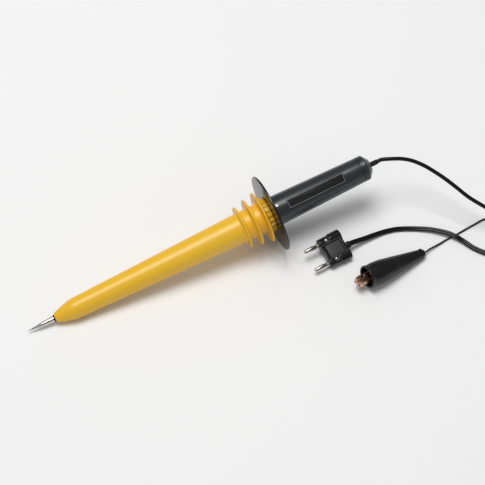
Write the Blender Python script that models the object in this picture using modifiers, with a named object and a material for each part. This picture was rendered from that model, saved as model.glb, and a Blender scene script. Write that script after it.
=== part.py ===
"""High-voltage divider probe with a double banana plug and a booted ground clip.

Metres, +Z up. The probe lies on its guard disc and nose shoulder, tip towards -X.
The origin is the centre of the probe's own box, on the surface it lies on.
Stations along the probe are measured from the tip point.
"""

import math

import bpy
import bmesh
from mathutils import Euler, Matrix, Vector

# ---------------------------------------------------------------- clearances
SEAT = 0.0003  # between pieces that touch or are fastened together
SLIP = 0.00005  # keeps two faces that would share a plane apart while they are joined or cut
BEYOND = 0.0040  # how far a cutter reaches past what it cuts
ROUND = 36  # sides of a large turned piece
MEDIUM = 20  # sides of a turned piece of middle size
FINE = 16  # sides of a small turned piece
DISC_SIDES = 60
SPRING_POINTS = 8  # points to a curl of a spring

# ---------------------------------------------------------------- probe tip
TIP_CONE_LENGTH = 0.0140
TIP_POINT_RADIUS = 0.00018
TIP_CONE_RADIUS = 0.0020
TIP_SHANK_RADIUS = 0.00245
TIP_LENGTH = 0.0254  # bare length in front of the nose bushing
TIP_STUD_RADIUS = 0.0012
TIP_STUD_LENGTH = 0.0110

# ---------------------------------------------------------------- nose bushing
BUSHING_FLANGE_RADIUS = 0.0029
BUSHING_FLANGE_THICKNESS = 0.0006
BUSHING_RADIUS = 0.0023
BUSHING_LENGTH = 0.0142

# ---------------------------------------------------------------- barrel
NOSE_RADIUS = 0.0036
NOSE_LENGTH = 0.0185
NOSE_SWELL = 0.72  # how early the nose swells; at 1 it is a plain cone
NOSE_STEPS = 8
SHOULDER_RADIUS = 0.0096
BARREL_REAR_RADIUS = 0.0144
BARREL_LENGTH = 0.2076  # nose face to rear face
BARREL_WALL = 0.0024
BARREL_THREAD_LENGTH = 0.0130
RING_FIRST = 0.1853  # nose face to the middle of the first ring
RING_PITCH = 0.0101
RING_RADII = (0.0195, 0.0220, 0.0240)
RING_THICKNESS = 0.0022
RING_RIM_STEPS = 3

# ---------------------------------------------------------------- high-voltage divider
RESISTOR_RADIUS = 0.0046
RESISTOR_LENGTH = 0.1380
RESISTOR_CAP_LENGTH = 0.0080
RESISTOR_CAP_WALL = 0.0006
CONTACT_SPRING_RADIUS = 0.0021
CONTACT_SPRING_WIRE = 0.0003
CONTACT_SPRING_LENGTH = 0.0100
CONTACT_SPRING_CURLS = 6
SPACER_THICKNESS = 0.0050
SPACER_INSET = 0.0160  # from a resistor end to the near face of its spacer
HV_WIRE_RADIUS = 0.0006

# ---------------------------------------------------------------- collar, disc, stub
COLLAR_RADIUS = 0.0164
COLLAR_LENGTH = 0.0046
COLLAR_RIBS = 20
COLLAR_RIB_DEPTH = 0.0011
COLLAR_RIB_TOP = 0.20  # half width of a rib at its top, as a share of the pitch
COLLAR_RIB_FOOT = 0.32  # and at its foot
DISC_RADIUS = 0.0364
DISC_THICKNESS = 0.0020
DISC_RIM = 0.0005
STUB_RADIUS = 0.0090
STUB_BORE = 0.0050
STUB_HANDLE_LENGTH = 0.0160

# ---------------------------------------------------------------- handle
HANDLE_FRONT_RADIUS = 0.0140
HANDLE_REAR_RADIUS = 0.0119
HANDLE_LENGTH = 0.0892
HANDLE_BORE = 0.0102
HANDLE_LIP_RADIUS = 0.0145
HANDLE_LIP_LENGTH = 0.0020
HANDLE_CHAMFER = 0.0006
LABEL_LENGTH = 0.0570
LABEL_WIDTH = 0.0086
LABEL_THICKNESS = 0.0006
LABEL_START = 0.0146  # handle front face to the plate
LABEL_ROLL = math.radians(28.0)  # from the top towards the near side
HANDLE_SCREW_PLACE = 0.0052  # handle front face to the grub screw
HANDLE_SCREW_RADIUS = 0.0014
HANDLE_SCREW_LENGTH = 0.0034
HANDLE_SCREW_ROLL = math.radians(11.0)
HANDLE_SCREW_DRIVE = 0.0007  # radius of the hexagonal socket
HANDLE_SCREW_DRIVE_DEPTH = 0.0014
CAP_LENGTH = 0.0106
CAP_CONE_LENGTH = 0.0049
CAP_FACE_RADIUS = 0.0060
CAP_SPIGOT_LENGTH = 0.0060
CAP_SPIGOT_WALL = 0.0018
CAP_GROOVES = 2
CAP_GROOVE_PITCH = 0.0018
CAP_GROOVE_DEPTH = 0.0004
CAP_GROOVE_WIDTH = 0.0005
GLAND_RADIUS = 0.00245
GLAND_LENGTH = 0.0080  # outside the cap
GLAND_FLANGE_RADIUS = 0.0042
GLAND_FLANGE_THICKNESS = 0.0016

# ---------------------------------------------------------------- board in the handle
BOARD_LENGTH = 0.0540
BOARD_THICKNESS = 0.0016
LOW_RESISTOR_RADIUS = 0.0019
LOW_RESISTOR_LENGTH = 0.0120
LOW_RESISTOR_PLACE = 0.0108  # from the board's front edge
TRIMMER_SIDE = 0.0065
TRIMMER_HEIGHT = 0.0040
TRIMMER_PLACE = 0.0335  # from the board's front edge
TRIMMER_SCREW_RADIUS = 0.0015
TRIMMER_SCREW_DEPTH = 0.0012
OUTPUT_WIRE_RADIUS = 0.0005
OUTPUT_WIRE_SPACING = 0.0030

# ---------------------------------------------------------------- double banana plug
PLUG_PLACE = (0.0968, -0.0450)
PLUG_HEADING = math.radians(185.7)
PLUG_ROLL = math.radians(-20.3)
PIN_SPACING = 0.01905
PLUG_LENGTH = 0.0225
PLUG_BARREL_RADIUS = 0.0049
PLUG_SLEEVE_RADIUS = 0.0056
PLUG_SLEEVE_LENGTH = 0.0110
PLUG_EDGE = 0.0008
PLUG_WEB_TOP = 0.0032
PLUG_WEB_BOTTOM = 0.0040
COVER_LENGTH = 0.0150
COVER_WIDTH = 0.0122
COVER_THICKNESS = 0.0010
PIN_REACH = 0.0156
PIN_DEPTH = 0.0120
PIN_STEM_RADIUS = 0.0015
PIN_COLLAR_RADIUS = 0.0024
PIN_COLLAR_LENGTH = 0.0018
PIN_CORE_RADIUS = 0.0012
PIN_NOSE_RADIUS = 0.0018
PIN_NOSE_LENGTH = 0.0020
PIN_NOSE_END = 0.0009  # length and radius of the tapered end
CAGE_WALL = 0.0003
CAGE_BULGE = 0.0005
CAGE_LEAVES = 4
CAGE_STEPS = 4
CAGE_SLOT = 0.0005
CAGE_RIM = 0.0013  # uncut length at each end of the cage
CAGE_TURN = math.radians(20.0)
SET_SCREW_RADIUS = 0.0015
SET_SCREW_LENGTH = 0.0028
SET_SCREW_PLACE = 0.0076  # behind the front face
SET_SCREW_SLOT_WIDTH = 0.0005
SET_SCREW_SLOT_DEPTH = 0.0008
RELIEF_LENGTH = 0.0040
RELIEF_MARGIN = 0.0009
RELIEF_OFFSET = 0.0026  # from the plug's middle towards the near pin

# ---------------------------------------------------------------- ground clip
CLIP_MOUTH = (0.1186, -0.0854)
CLIP_HEADING = math.radians(184.3)
BOOT_LENGTH = 0.0640
BOOT_MOUTH_RADIUS = 0.0104
BOOT_BELLY_RADIUS = 0.0107
BOOT_BELLY_START = 0.0080
BOOT_BELLY_END = 0.0160
BOOT_TAIL_RADIUS = 0.0042
BOOT_WALL = 0.0010
BOOT_TAIL_WALL = 0.0020
JAW_REACH = 0.0105  # in front of the boot's mouth
JAW_PIVOT = 0.0095  # behind the boot's mouth
JAW_HALF_WIDTH = 0.0044
JAW_HALF_HEIGHT = 0.0028
JAW_SHEET = 0.0007
JAW_DROP = 0.0019  # clip axis below the boot axis
JAW_PART_GAP = 0.00030  # from the parting plane to each jaw
JAW_TEETH = 6
JAW_TOOTH_DEPTH = 0.0008
JAW_TOOTH_CROWN = 0.0001  # the middle teeth are cut deeper by this
JAW_TAPER = 0.0042  # length of the narrowing front
JAW_TIP_HALF_WIDTH = 0.0032
JAW_HEEL = 0.0027  # in front of the pivot, where the fixed jaw's bite ends
JAW_NECK = 0.0036  # behind the boot's mouth, where the moving jaw's ears begin
JAW_REAR_REACH = 0.0043  # behind the pivot
JAW_EAR = 0.0018  # radius of the ears round the rivet
EAR_STEPS = 3
JAW_HOLE_RADIUS = 0.0008
JAW_HOLE_PLACE = 0.0029  # in front of the boot's mouth
JAW_HOLE_SIDE = 0.0024
LEVER_LENGTH = 0.0150  # behind the pivot
LEVER_HALF_HEIGHT = 0.0018
TAIL_STRIP_WIDTH = 0.0044
RIVET_RADIUS = 0.0010
RIVET_HEAD_RADIUS = 0.0018
RIVET_HEAD_THICKNESS = 0.0006
CLIP_SPRING_WIRE = 0.00025
CLIP_SPRING_CURLS = 5
CLIP_SPRING_LEG = 0.0058  # behind the pivot
TERMINAL_RADIUS = 0.0013
TERMINAL_HEAD_RADIUS = 0.0020
TERMINAL_HEAD_THICKNESS = 0.0012
TERMINAL_EDGE = 0.0004
TERMINAL_PLACE = 0.0060  # in front of the strip's end

# ---------------------------------------------------------------- cords
HANDLE_CABLE = 0.0037
PLUG_CABLE_WIDTH = 0.0049
PLUG_CABLE_HEIGHT = 0.0028
GROUND_LEAD = 0.0017
COIL_PLAY = 0.0006  # clear space between the turns of a coil
COIL_POINTS = 24  # points to a turn
COIL_CLIMB = 0.5  # turns over which a coil climbs to its upper layer
BEND_POINTS = 8  # from a coil's last turn to its end
POINT_SPACING = 2.5  # diameters from point to point of a free stretch
SMOOTH_SAMPLES = 16  # between two chosen points
TWIN_TURN_POINTS = 9  # points of the twin cable that share in its turn from the plug to level
TWIN_SIDES = 12
TIE_CORNER_STEPS = 3
TIE_THICKNESS = 0.0008
CABLE_TIE_WIDTH = 0.0040
LEAD_TIE_WIDTH = 0.0020
CABLE_TIE_ANGLE = math.radians(-10.0)
LEAD_TIE_ANGLE = math.radians(5.0)

CABLE_COIL_CENTRE = (0.2935, -0.1286)
CABLE_COIL_RADIUS = 0.0257
CABLE_COIL_ENTRY = math.radians(75.0)
CABLE_COIL_TURNS = 4.5833
LEAD_COIL_CENTRE = (0.2602, -0.0985)
LEAD_COIL_RADIUS = 0.0131
LEAD_COIL_ENTRY = math.radians(155.0)
LEAD_COIL_TURNS = 8.125

YOKE_PLACE = (0.2594, -0.1312)
YOKE_HEADING = math.radians(135.0)
YOKE_LENGTH = 0.0180
YOKE_FRONT_WIDTH = 0.0130
YOKE_REAR_WIDTH = 0.0080
YOKE_HEIGHT = 0.0086
YOKE_EDGE = 0.0014
YOKE_EDGE_STEPS = 3
YOKE_LEAD_OFFSET = 0.0042
YOKE_TWIN_OFFSET = 0.0023

# Chosen points of each free stretch, between its two ends.
HANDLE_CABLE_ROUTE = (
    (0.1881, -0.0044, 0.0518),
    (0.1957, -0.0078, 0.0512),
    (0.2033, -0.0130, 0.0500),
    (0.2105, -0.0210, 0.0484),
    (0.2164, -0.0295, 0.0463),
    (0.2225, -0.0394, 0.0436),
    (0.2284, -0.0498, 0.0401),
    (0.2351, -0.0611, 0.0352),
    (0.2440, -0.0702, 0.0290),
    (0.2545, -0.0768, 0.0205),
    (0.2660, -0.0835, 0.0115),
    (0.2765, -0.0918, 0.0045),
)
PLUG_CABLE_ROUTE = (
    (0.1315, -0.0441, 0.0067),
    (0.1410, -0.0436, 0.0045),
    (0.1565, -0.0433, 0.0024),
    (0.1669, -0.0444, 0.0018),
    (0.1761, -0.0469, 0.0017),
    (0.1886, -0.0528, 0.0020),
    (0.2003, -0.0602, 0.0030),
    (0.2107, -0.0697, 0.0042),
    (0.2165, -0.0768, 0.0042),
    (0.2215, -0.0850, 0.0030),
    (0.2262, -0.0945, 0.0021),
    (0.2330, -0.1040, 0.0021),
    (0.2420, -0.1140, 0.0026),
)
GROUND_LEAD_ROUTE = (
    (0.1892, -0.0789, 0.0030),
    (0.2014, -0.0770, 0.0016),
    (0.2098, -0.0756, 0.00115),
    (0.2185, -0.0750, 0.00115),
    (0.2279, -0.0738, 0.00115),
    (0.2400, -0.0724, 0.00115),
    (0.2505, -0.0712, 0.00115),
    (0.2545, -0.0722, 0.00115),
    (0.2560, -0.0752, 0.00115),
    (0.2540, -0.0800, 0.00120),
)

# ---------------------------------------------------------------- derived stations
NOSE_START = TIP_LENGTH + SEAT + BUSHING_FLANGE_THICKNESS + SEAT
BUSHING_START = TIP_LENGTH + SEAT
BUSHING_END = BUSHING_START + BUSHING_FLANGE_THICKNESS + BUSHING_LENGTH
SHOULDER = NOSE_START + NOSE_LENGTH
BARREL_END = NOSE_START + BARREL_LENGTH
COLLAR_START = BARREL_END + SEAT
DISC_START = COLLAR_START + COLLAR_LENGTH + SEAT
HANDLE_START = DISC_START + DISC_THICKNESS + SEAT
HANDLE_END = HANDLE_START + HANDLE_LENGTH
CAP_START = HANDLE_END + SEAT
CAP_END = CAP_START + CAP_LENGTH
GLAND_END = CAP_END + GLAND_LENGTH
CAVITY_START = BUSHING_END + SEAT
CAVITY_END = BARREL_END - BARREL_THREAD_LENGTH
SPRING_START = BUSHING_END + SEAT
RESISTOR_FACE = SPRING_START + CONTACT_SPRING_LENGTH + SEAT
RESISTOR_START = RESISTOR_FACE + RESISTOR_CAP_WALL + SEAT
RESISTOR_END = RESISTOR_START + RESISTOR_LENGTH
RESISTOR_REAR_FACE = RESISTOR_END + SEAT + RESISTOR_CAP_WALL
STUB_START = CAVITY_END
STUB_END = HANDLE_START + STUB_HANDLE_LENGTH
BOARD_START = STUB_END + 4 * SEAT
BOARD_END = BOARD_START + BOARD_LENGTH
LEAN = math.atan2(
    DISC_RADIUS - SHOULDER_RADIUS, DISC_START + DISC_RIM - SHOULDER
)  # the nose hangs down by this angle


def barrel_radius(station):
    """Outer radius of the plain barrel, which widens evenly from the nose shoulder."""
    if station < SHOULDER:
        share = max(0.0, (station - NOSE_START) / NOSE_LENGTH)
        return NOSE_RADIUS + (SHOULDER_RADIUS - NOSE_RADIUS) * share ** NOSE_SWELL
    share = (station - SHOULDER) / (BARREL_END - SHOULDER)
    return SHOULDER_RADIUS + (BARREL_REAR_RADIUS - SHOULDER_RADIUS) * share


def cavity_radius(station):
    """Radius of the hollow that holds the resistor."""
    return barrel_radius(station) - BARREL_WALL


def handle_radius(station):
    """Outer radius of the handle, which narrows evenly to the rear."""
    share = (station - HANDLE_START) / HANDLE_LENGTH
    return HANDLE_FRONT_RADIUS + (HANDLE_REAR_RADIUS - HANDLE_FRONT_RADIUS) * share


# ---------------------------------------------------------------- scene and helpers
def clear_scene():
    for old in list(bpy.data.objects):
        bpy.data.objects.remove(old)


def new_collection(name):
    made = bpy.data.collections.new(name)
    bpy.context.scene.collection.children.link(made)
    return made


clear_scene()
PARTS = new_collection("high_voltage_probe")
CUTTERS = new_collection("cutters")


def material(name, colour, roughness, metallic=0.0):
    made = bpy.data.materials.new(name)
    made.use_nodes = True
    shader = made.node_tree.nodes["Principled BSDF"]
    shader.inputs["Base Color"].default_value = (*colour, 1.0)
    shader.inputs["Roughness"].default_value = roughness
    shader.inputs["Metallic"].default_value = metallic
    return made


YELLOW = material("yellow_plastic", (0.80, 0.40, 0.03), 0.35)
DISC_BLACK = material("gloss_black_plastic", (0.015, 0.015, 0.017), 0.12)
GREY = material("handle_grey_plastic", (0.05, 0.055, 0.06), 0.42)
LABEL_BLACK = material("label_black", (0.02, 0.02, 0.022), 0.40)
PLUG_BLACK = material("plug_black_plastic", (0.02, 0.02, 0.022), 0.35)
COVER_GREY = material("plug_cover_grey", (0.12, 0.12, 0.13), 0.50)
NICKEL = material("nickel_plate", (0.72, 0.70, 0.66), 0.22, 1.0)
BLACK_METAL = material("blackened_brass", (0.05, 0.045, 0.04), 0.45, 1.0)
COPPER = material("copper_plate", (0.80, 0.50, 0.33), 0.30, 1.0)
STEEL = material("spring_steel", (0.55, 0.55, 0.55), 0.30, 1.0)
BRASS = material("brass", (0.72, 0.53, 0.25), 0.30, 1.0)
CERAMIC = material("resistor_green", (0.10, 0.25, 0.16), 0.40)
WHITE = material("spacer_white", (0.75, 0.75, 0.72), 0.50)
BOARD_GREEN = material("board_green", (0.03, 0.20, 0.08), 0.45)
TRIMMER_BLUE = material("trimmer_blue", (0.04, 0.16, 0.45), 0.40)
RUBBER = material("boot_black_vinyl", (0.018, 0.018, 0.02), 0.55)
CORD_BLACK = material("cord_black_vinyl", (0.02, 0.02, 0.022), 0.45)
WIRE_RED = material("wire_red", (0.45, 0.03, 0.03), 0.40)


def empty(name, place, turn=(0.0, 0.0, 0.0), parent=None):
    made = bpy.data.objects.new(name, None)
    PARTS.objects.link(made)
    made.location = place
    made.rotation_euler = turn
    made.parent = parent
    return made


def shade(mesh, finish, angle=35.0):
    mesh.materials.clear()
    mesh.materials.append(finish)
    mesh.shade_smooth()
    mesh.set_sharp_from_angle(angle=math.radians(angle))


def place(obj, frame, where=(0.0, 0.0, 0.0), turn=(0.0, 0.0, 0.0)):
    obj.parent = frame
    obj.location = where
    obj.rotation_euler = turn
    return obj


def as_cutter(obj):
    for holder in list(obj.users_collection):
        holder.objects.unlink(obj)
    CUTTERS.objects.link(obj)
    obj.hide_render = True
    obj.display_type = "WIRE"
    return obj


def mesh_object(name, shape, finish):
    """An object from a finished bmesh."""
    mesh = bpy.data.meshes.new(name)
    bmesh.ops.recalc_face_normals(shape, faces=shape.faces)
    shape.to_mesh(mesh)
    shape.free()
    shade(mesh, finish)
    made = bpy.data.objects.new(name, mesh)
    PARTS.objects.link(made)
    return made


def turned(name, outline, finish, frame, hollow=False, sides=ROUND, where=(0.0, 0.0, 0.0)):
    """A turned piece along the frame's X. The outline's (station, radius) points run down
    the outer side from the highest station to the lowest, and back up inside if hollow."""
    mesh = bpy.data.meshes.new(name)
    points = [(radius, 0.0, station) for station, radius in outline]
    edges = [(i, i + 1) for i in range(len(points) - 1)]
    if hollow:
        edges.append((len(points) - 1, 0))
    mesh.from_pydata(points, edges, [])
    mesh.materials.append(finish)
    made = bpy.data.objects.new(name, mesh)
    PARTS.objects.link(made)
    spin = made.modifiers.new("turn", "SCREW")
    spin.axis = "Z"
    spin.angle = 2.0 * math.pi
    spin.steps = sides
    spin.render_steps = sides
    spin.use_merge_vertices = True
    spin.merge_threshold = 0.00001
    return place(made, frame, where, (0.0, math.pi / 2.0, 0.0))


def box(name, low, high, finish, frame):
    """A box between two corners in the frame."""
    shape = bmesh.new()
    bmesh.ops.create_cube(shape, size=1.0)
    size = Vector(high) - Vector(low)
    middle = (Vector(high) + Vector(low)) / 2.0
    bmesh.ops.transform(shape, verts=shape.verts, matrix=Matrix.Diagonal(size).to_4x4())
    return place(mesh_object(name, shape, finish), frame, middle)


def rod(name, start, end, radius, finish, frame, sides=FINE):
    """A plain round rod between two points of the frame."""
    start, end = Vector(start), Vector(end)
    shape = bmesh.new()
    bmesh.ops.create_cone(
        shape,
        cap_ends=True,
        segments=sides,
        radius1=radius,
        radius2=radius,
        depth=(end - start).length,
    )
    made = mesh_object(name, shape, finish)
    turn = (end - start).to_track_quat("Z", "Y").to_euler()
    return place(made, frame, (start + end) / 2.0, turn)


def flat(name, outlines, low, high, finish, frame):
    """A flat plate: closed (x, y) outlines, the first one outside, from z low to z high."""
    curve = bpy.data.curves.new(name, "CURVE")
    curve.dimensions = "2D"
    curve.fill_mode = "BOTH"
    curve.extrude = (high - low) / 2.0
    for outline in outlines:
        line = curve.splines.new("POLY")
        line.points.add(len(outline) - 1)
        for point, (x, y) in zip(line.points, outline):
            point.co = (x, y, 0.0, 1.0)
        line.use_cyclic_u = True
    curve.materials.append(finish)
    made = bpy.data.objects.new(name, curve)
    PARTS.objects.link(made)
    return place(made, frame, (0.0, 0.0, (low + high) / 2.0))


def tube(name, points, radius, finish, frame=None, resolution=2):
    """A round tube along the points, with closed ends."""
    curve = bpy.data.curves.new(name, "CURVE")
    curve.dimensions = "3D"
    curve.bevel_depth = radius
    curve.bevel_resolution = resolution
    curve.use_fill_caps = True
    line = curve.splines.new("POLY")
    line.points.add(len(points) - 1)
    for point, where in zip(line.points, points):
        point.co = (*where, 1.0)
    curve.materials.append(finish)
    made = bpy.data.objects.new(name, curve)
    PARTS.objects.link(made)
    return place(made, frame)


def as_mesh(obj):
    """The curve object as a welded mesh object of the same name, ready to be cut or joined."""
    bpy.context.view_layer.update()
    graph = bpy.context.evaluated_depsgraph_get()
    mesh = bpy.data.meshes.new_from_object(obj.evaluated_get(graph))
    shape = bmesh.new()
    shape.from_mesh(mesh)
    bmesh.ops.remove_doubles(shape, verts=shape.verts, dist=0.000001)
    bmesh.ops.dissolve_limit(shape, angle_limit=0.001, verts=shape.verts, edges=shape.edges)
    bmesh.ops.recalc_face_normals(shape, faces=shape.faces)
    shape.to_mesh(mesh)
    shape.free()
    name, finish, where = obj.name, obj.data.materials[0], obj.matrix_world.copy()
    bpy.data.objects.remove(obj)
    made = bpy.data.objects.new(name, mesh)
    PARTS.objects.link(made)
    made.matrix_world = where
    shade(mesh, finish)
    return made


def combine(obj, tool, operation):
    """Cuts the tool from the object, or joins it on."""
    as_cutter(tool)
    step = obj.modifiers.new(f"{operation.lower()}_{tool.name}", "BOOLEAN")
    step.operation = operation
    step.solver = "EXACT"
    step.object = tool
    return obj


def cut(obj, *tools):
    for tool in tools:
        combine(obj, tool, "DIFFERENCE")
    return obj


def join(obj, *tools):
    for tool in tools:
        combine(obj, tool, "UNION")
    return obj


# ---------------------------------------------------------------- frames
PROBE_X = -(GLAND_END * math.cos(LEAN) + GLAND_RADIUS * math.sin(LEAN)) / 2.0
PROBE_Z = DISC_RADIUS * math.cos(LEAN) - (DISC_START + DISC_RIM) * math.sin(LEAN)
PROBE = empty("probe_axis", (PROBE_X, 0.0, PROBE_Z), (0.0, -LEAN, 0.0))
ALONG = Vector((math.cos(LEAN), 0.0, math.sin(LEAN)))
EXIT = Vector((PROBE_X, 0.0, PROBE_Z)) + ALONG * (GLAND_END + SEAT)


# ---------------------------------------------------------------- tip and nose
def build_tip():
    turned(
        "probe_tip",
        [
            (BUSHING_START + TIP_STUD_LENGTH, 0.0),
            (BUSHING_START + TIP_STUD_LENGTH, TIP_STUD_RADIUS),
            (TIP_LENGTH, TIP_STUD_RADIUS),
            (TIP_LENGTH, TIP_SHANK_RADIUS),
            (TIP_CONE_LENGTH, TIP_CONE_RADIUS),
            (TIP_POINT_RADIUS, TIP_POINT_RADIUS),
            (0.0, TIP_POINT_RADIUS / 2.0),
            (0.0, 0.0),
        ],
        NICKEL,
        PROBE,
        sides=MEDIUM,
    )
    flange_end = BUSHING_START + BUSHING_FLANGE_THICKNESS
    stud_hole_end = BUSHING_START + TIP_STUD_LENGTH + SEAT
    stud_hole = TIP_STUD_RADIUS + SEAT
    turned(
        "tip_bushing",
        [
            (BUSHING_END, 0.0),
            (BUSHING_END, BUSHING_RADIUS),
            (flange_end, BUSHING_RADIUS),
            (flange_end, BUSHING_FLANGE_RADIUS),
            (BUSHING_START, BUSHING_FLANGE_RADIUS),
            (BUSHING_START, stud_hole),
            (stud_hole_end, stud_hole),
            (stud_hole_end, 0.0),
        ],
        BLACK_METAL,
        PROBE,
        sides=MEDIUM,
    )


# ---------------------------------------------------------------- barrel
def ring_outline(middle, radius):
    """The rim of one guard ring, rear side first."""
    half = RING_THICKNESS / 2.0
    rear, front = middle + half, middle - half
    points = [(rear, barrel_radius(rear))]
    for step in range(RING_RIM_STEPS + 1):
        angle = math.pi * step / RING_RIM_STEPS
        points.append((middle + half * math.cos(angle), radius - half + half * math.sin(angle)))
    points.append((front, barrel_radius(front)))
    return points


def build_barrel():
    outer = [(BARREL_END, BARREL_REAR_RADIUS)]
    for index in reversed(range(len(RING_RADII))):
        middle = NOSE_START + RING_FIRST + RING_PITCH * index
        outer += ring_outline(middle, RING_RADII[index])
    outer.append((SHOULDER, SHOULDER_RADIUS))
    for step in range(NOSE_STEPS - 1, 0, -1):
        station = NOSE_START + NOSE_LENGTH * step / NOSE_STEPS
        outer.append((station, barrel_radius(station)))
    outer.append((NOSE_START, NOSE_RADIUS))
    nose_hole = BUSHING_RADIUS + SEAT
    thread_hole = STUB_RADIUS + SEAT
    cavity_front = SHOULDER + BARREL_WALL
    inner = [
        (NOSE_START, nose_hole),
        (CAVITY_START, nose_hole),
        (CAVITY_START, CONTACT_SPRING_RADIUS + 4 * SEAT),
        (cavity_front, cavity_radius(cavity_front)),
        (CAVITY_END - BARREL_WALL, cavity_radius(CAVITY_END - BARREL_WALL)),
        (CAVITY_END, thread_hole),
        (BARREL_END, thread_hole),
    ]
    turned("barrel_shell", outer + inner, YELLOW, PROBE, hollow=True)


def build_collar():
    """The ribbed ring that draws the barrel against the guard disc."""
    outline = []
    root = COLLAR_RADIUS - COLLAR_RIB_DEPTH
    pitch = 2.0 * math.pi / COLLAR_RIBS
    rib_corners = (
        (-COLLAR_RIB_FOOT, root),
        (-COLLAR_RIB_TOP, COLLAR_RADIUS),
        (COLLAR_RIB_TOP, COLLAR_RADIUS),
        (COLLAR_RIB_FOOT, root),
    )
    for rib in range(COLLAR_RIBS):
        for share, radius in rib_corners:
            angle = (rib + share) * pitch
            outline.append((radius * math.cos(angle), radius * math.sin(angle)))
    hole = STUB_RADIUS + SEAT
    bore = [
        (hole * math.cos(2.0 * math.pi * i / ROUND), hole * math.sin(2.0 * math.pi * i / ROUND))
        for i in range(ROUND)
    ]
    collar = flat("barrel_collar", [outline, bore], 0.0, COLLAR_LENGTH, YELLOW, PROBE)
    collar.location = (COLLAR_START + COLLAR_LENGTH / 2.0, 0.0, 0.0)
    collar.rotation_euler = (0.0, math.pi / 2.0, 0.0)


def build_disc():
    front, rear = DISC_START, DISC_START + DISC_THICKNESS
    hole = STUB_RADIUS + SEAT
    turned(
        "guard_disc",
        [
            (rear, DISC_RADIUS - DISC_RIM),
            (rear - DISC_RIM, DISC_RADIUS),
            (front + DISC_RIM, DISC_RADIUS),
            (front, DISC_RADIUS - DISC_RIM),
            (front, hole),
            (rear, hole),
        ],
        DISC_BLACK,
        PROBE,
        hollow=True,
        sides=DISC_SIDES,
    )


def build_stub():
    turned(
        "coupling_stub",
        [
            (STUB_END, STUB_RADIUS),
            (STUB_START, STUB_RADIUS),
            (STUB_START, STUB_BORE),
            (STUB_END, STUB_BORE),
        ],
        WHITE,
        PROBE,
        hollow=True,
    )


# ---------------------------------------------------------------- divider in the barrel
def build_resistor():
    turned(
        "hv_resistor",
        [
            (RESISTOR_END, 0.0),
            (RESISTOR_END, RESISTOR_RADIUS),
            (RESISTOR_START, RESISTOR_RADIUS),
            (RESISTOR_START, 0.0),
        ],
        CERAMIC,
        PROBE,
        sides=MEDIUM,
    )
    inside = RESISTOR_RADIUS + SEAT
    outside = inside + RESISTOR_CAP_WALL
    front_rim = RESISTOR_FACE + RESISTOR_CAP_LENGTH
    turned(
        "resistor_front_cap",
        [
            (RESISTOR_START - SEAT, 0.0),
            (RESISTOR_START - SEAT, inside),
            (front_rim, inside),
            (front_rim, outside),
            (RESISTOR_FACE, outside),
            (RESISTOR_FACE, 0.0),
        ],
        BRASS,
        PROBE,
        sides=MEDIUM,
    )
    rear_rim = RESISTOR_REAR_FACE - RESISTOR_CAP_LENGTH
    turned(
        "resistor_rear_cap",
        [
            (RESISTOR_REAR_FACE, 0.0),
            (RESISTOR_REAR_FACE, outside),
            (rear_rim, outside),
            (rear_rim, inside),
            (RESISTOR_END + SEAT, inside),
            (RESISTOR_END + SEAT, 0.0),
        ],
        BRASS,
        PROBE,
        sides=MEDIUM,
    )


def build_spacer(name, front):
    """A ring that centres the resistor in the barrel's hollow."""
    rear = front + SPACER_THICKNESS
    hole = RESISTOR_RADIUS + SEAT
    turned(
        name,
        [
            (rear, cavity_radius(rear) - SEAT),
            (front, cavity_radius(front) - SEAT),
            (front, hole),
            (rear, hole),
        ],
        WHITE,
        PROBE,
        hollow=True,
        sides=MEDIUM,
    )


def helix(start, length, radius, curls):
    """Points of a coil spring along the frame's X."""
    count = curls * SPRING_POINTS
    made = []
    for index in range(count + 1):
        angle = 2.0 * math.pi * index / SPRING_POINTS
        station = start + length * index / count
        made.append((station, radius * math.cos(angle), radius * math.sin(angle)))
    return made


def build_contact_spring():
    first = SPRING_START + CONTACT_SPRING_WIRE
    length = CONTACT_SPRING_LENGTH - 2.0 * CONTACT_SPRING_WIRE
    points = helix(first, length, CONTACT_SPRING_RADIUS, CONTACT_SPRING_CURLS)
    tube("contact_spring", points, CONTACT_SPRING_WIRE, STEEL, PROBE, 1)


def build_divider():
    build_resistor()
    build_contact_spring()
    build_spacer("resistor_spacer_front", RESISTOR_START + SPACER_INSET)
    build_spacer("resistor_spacer_rear", RESISTOR_END - SPACER_INSET - SPACER_THICKNESS)
    tube(
        "hv_wire",
        [(RESISTOR_REAR_FACE + SEAT, 0.0, 0.0), (BOARD_START - SEAT, 0.0, 0.0)],
        HV_WIRE_RADIUS,
        WIRE_RED,
        PROBE,
    )


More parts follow.
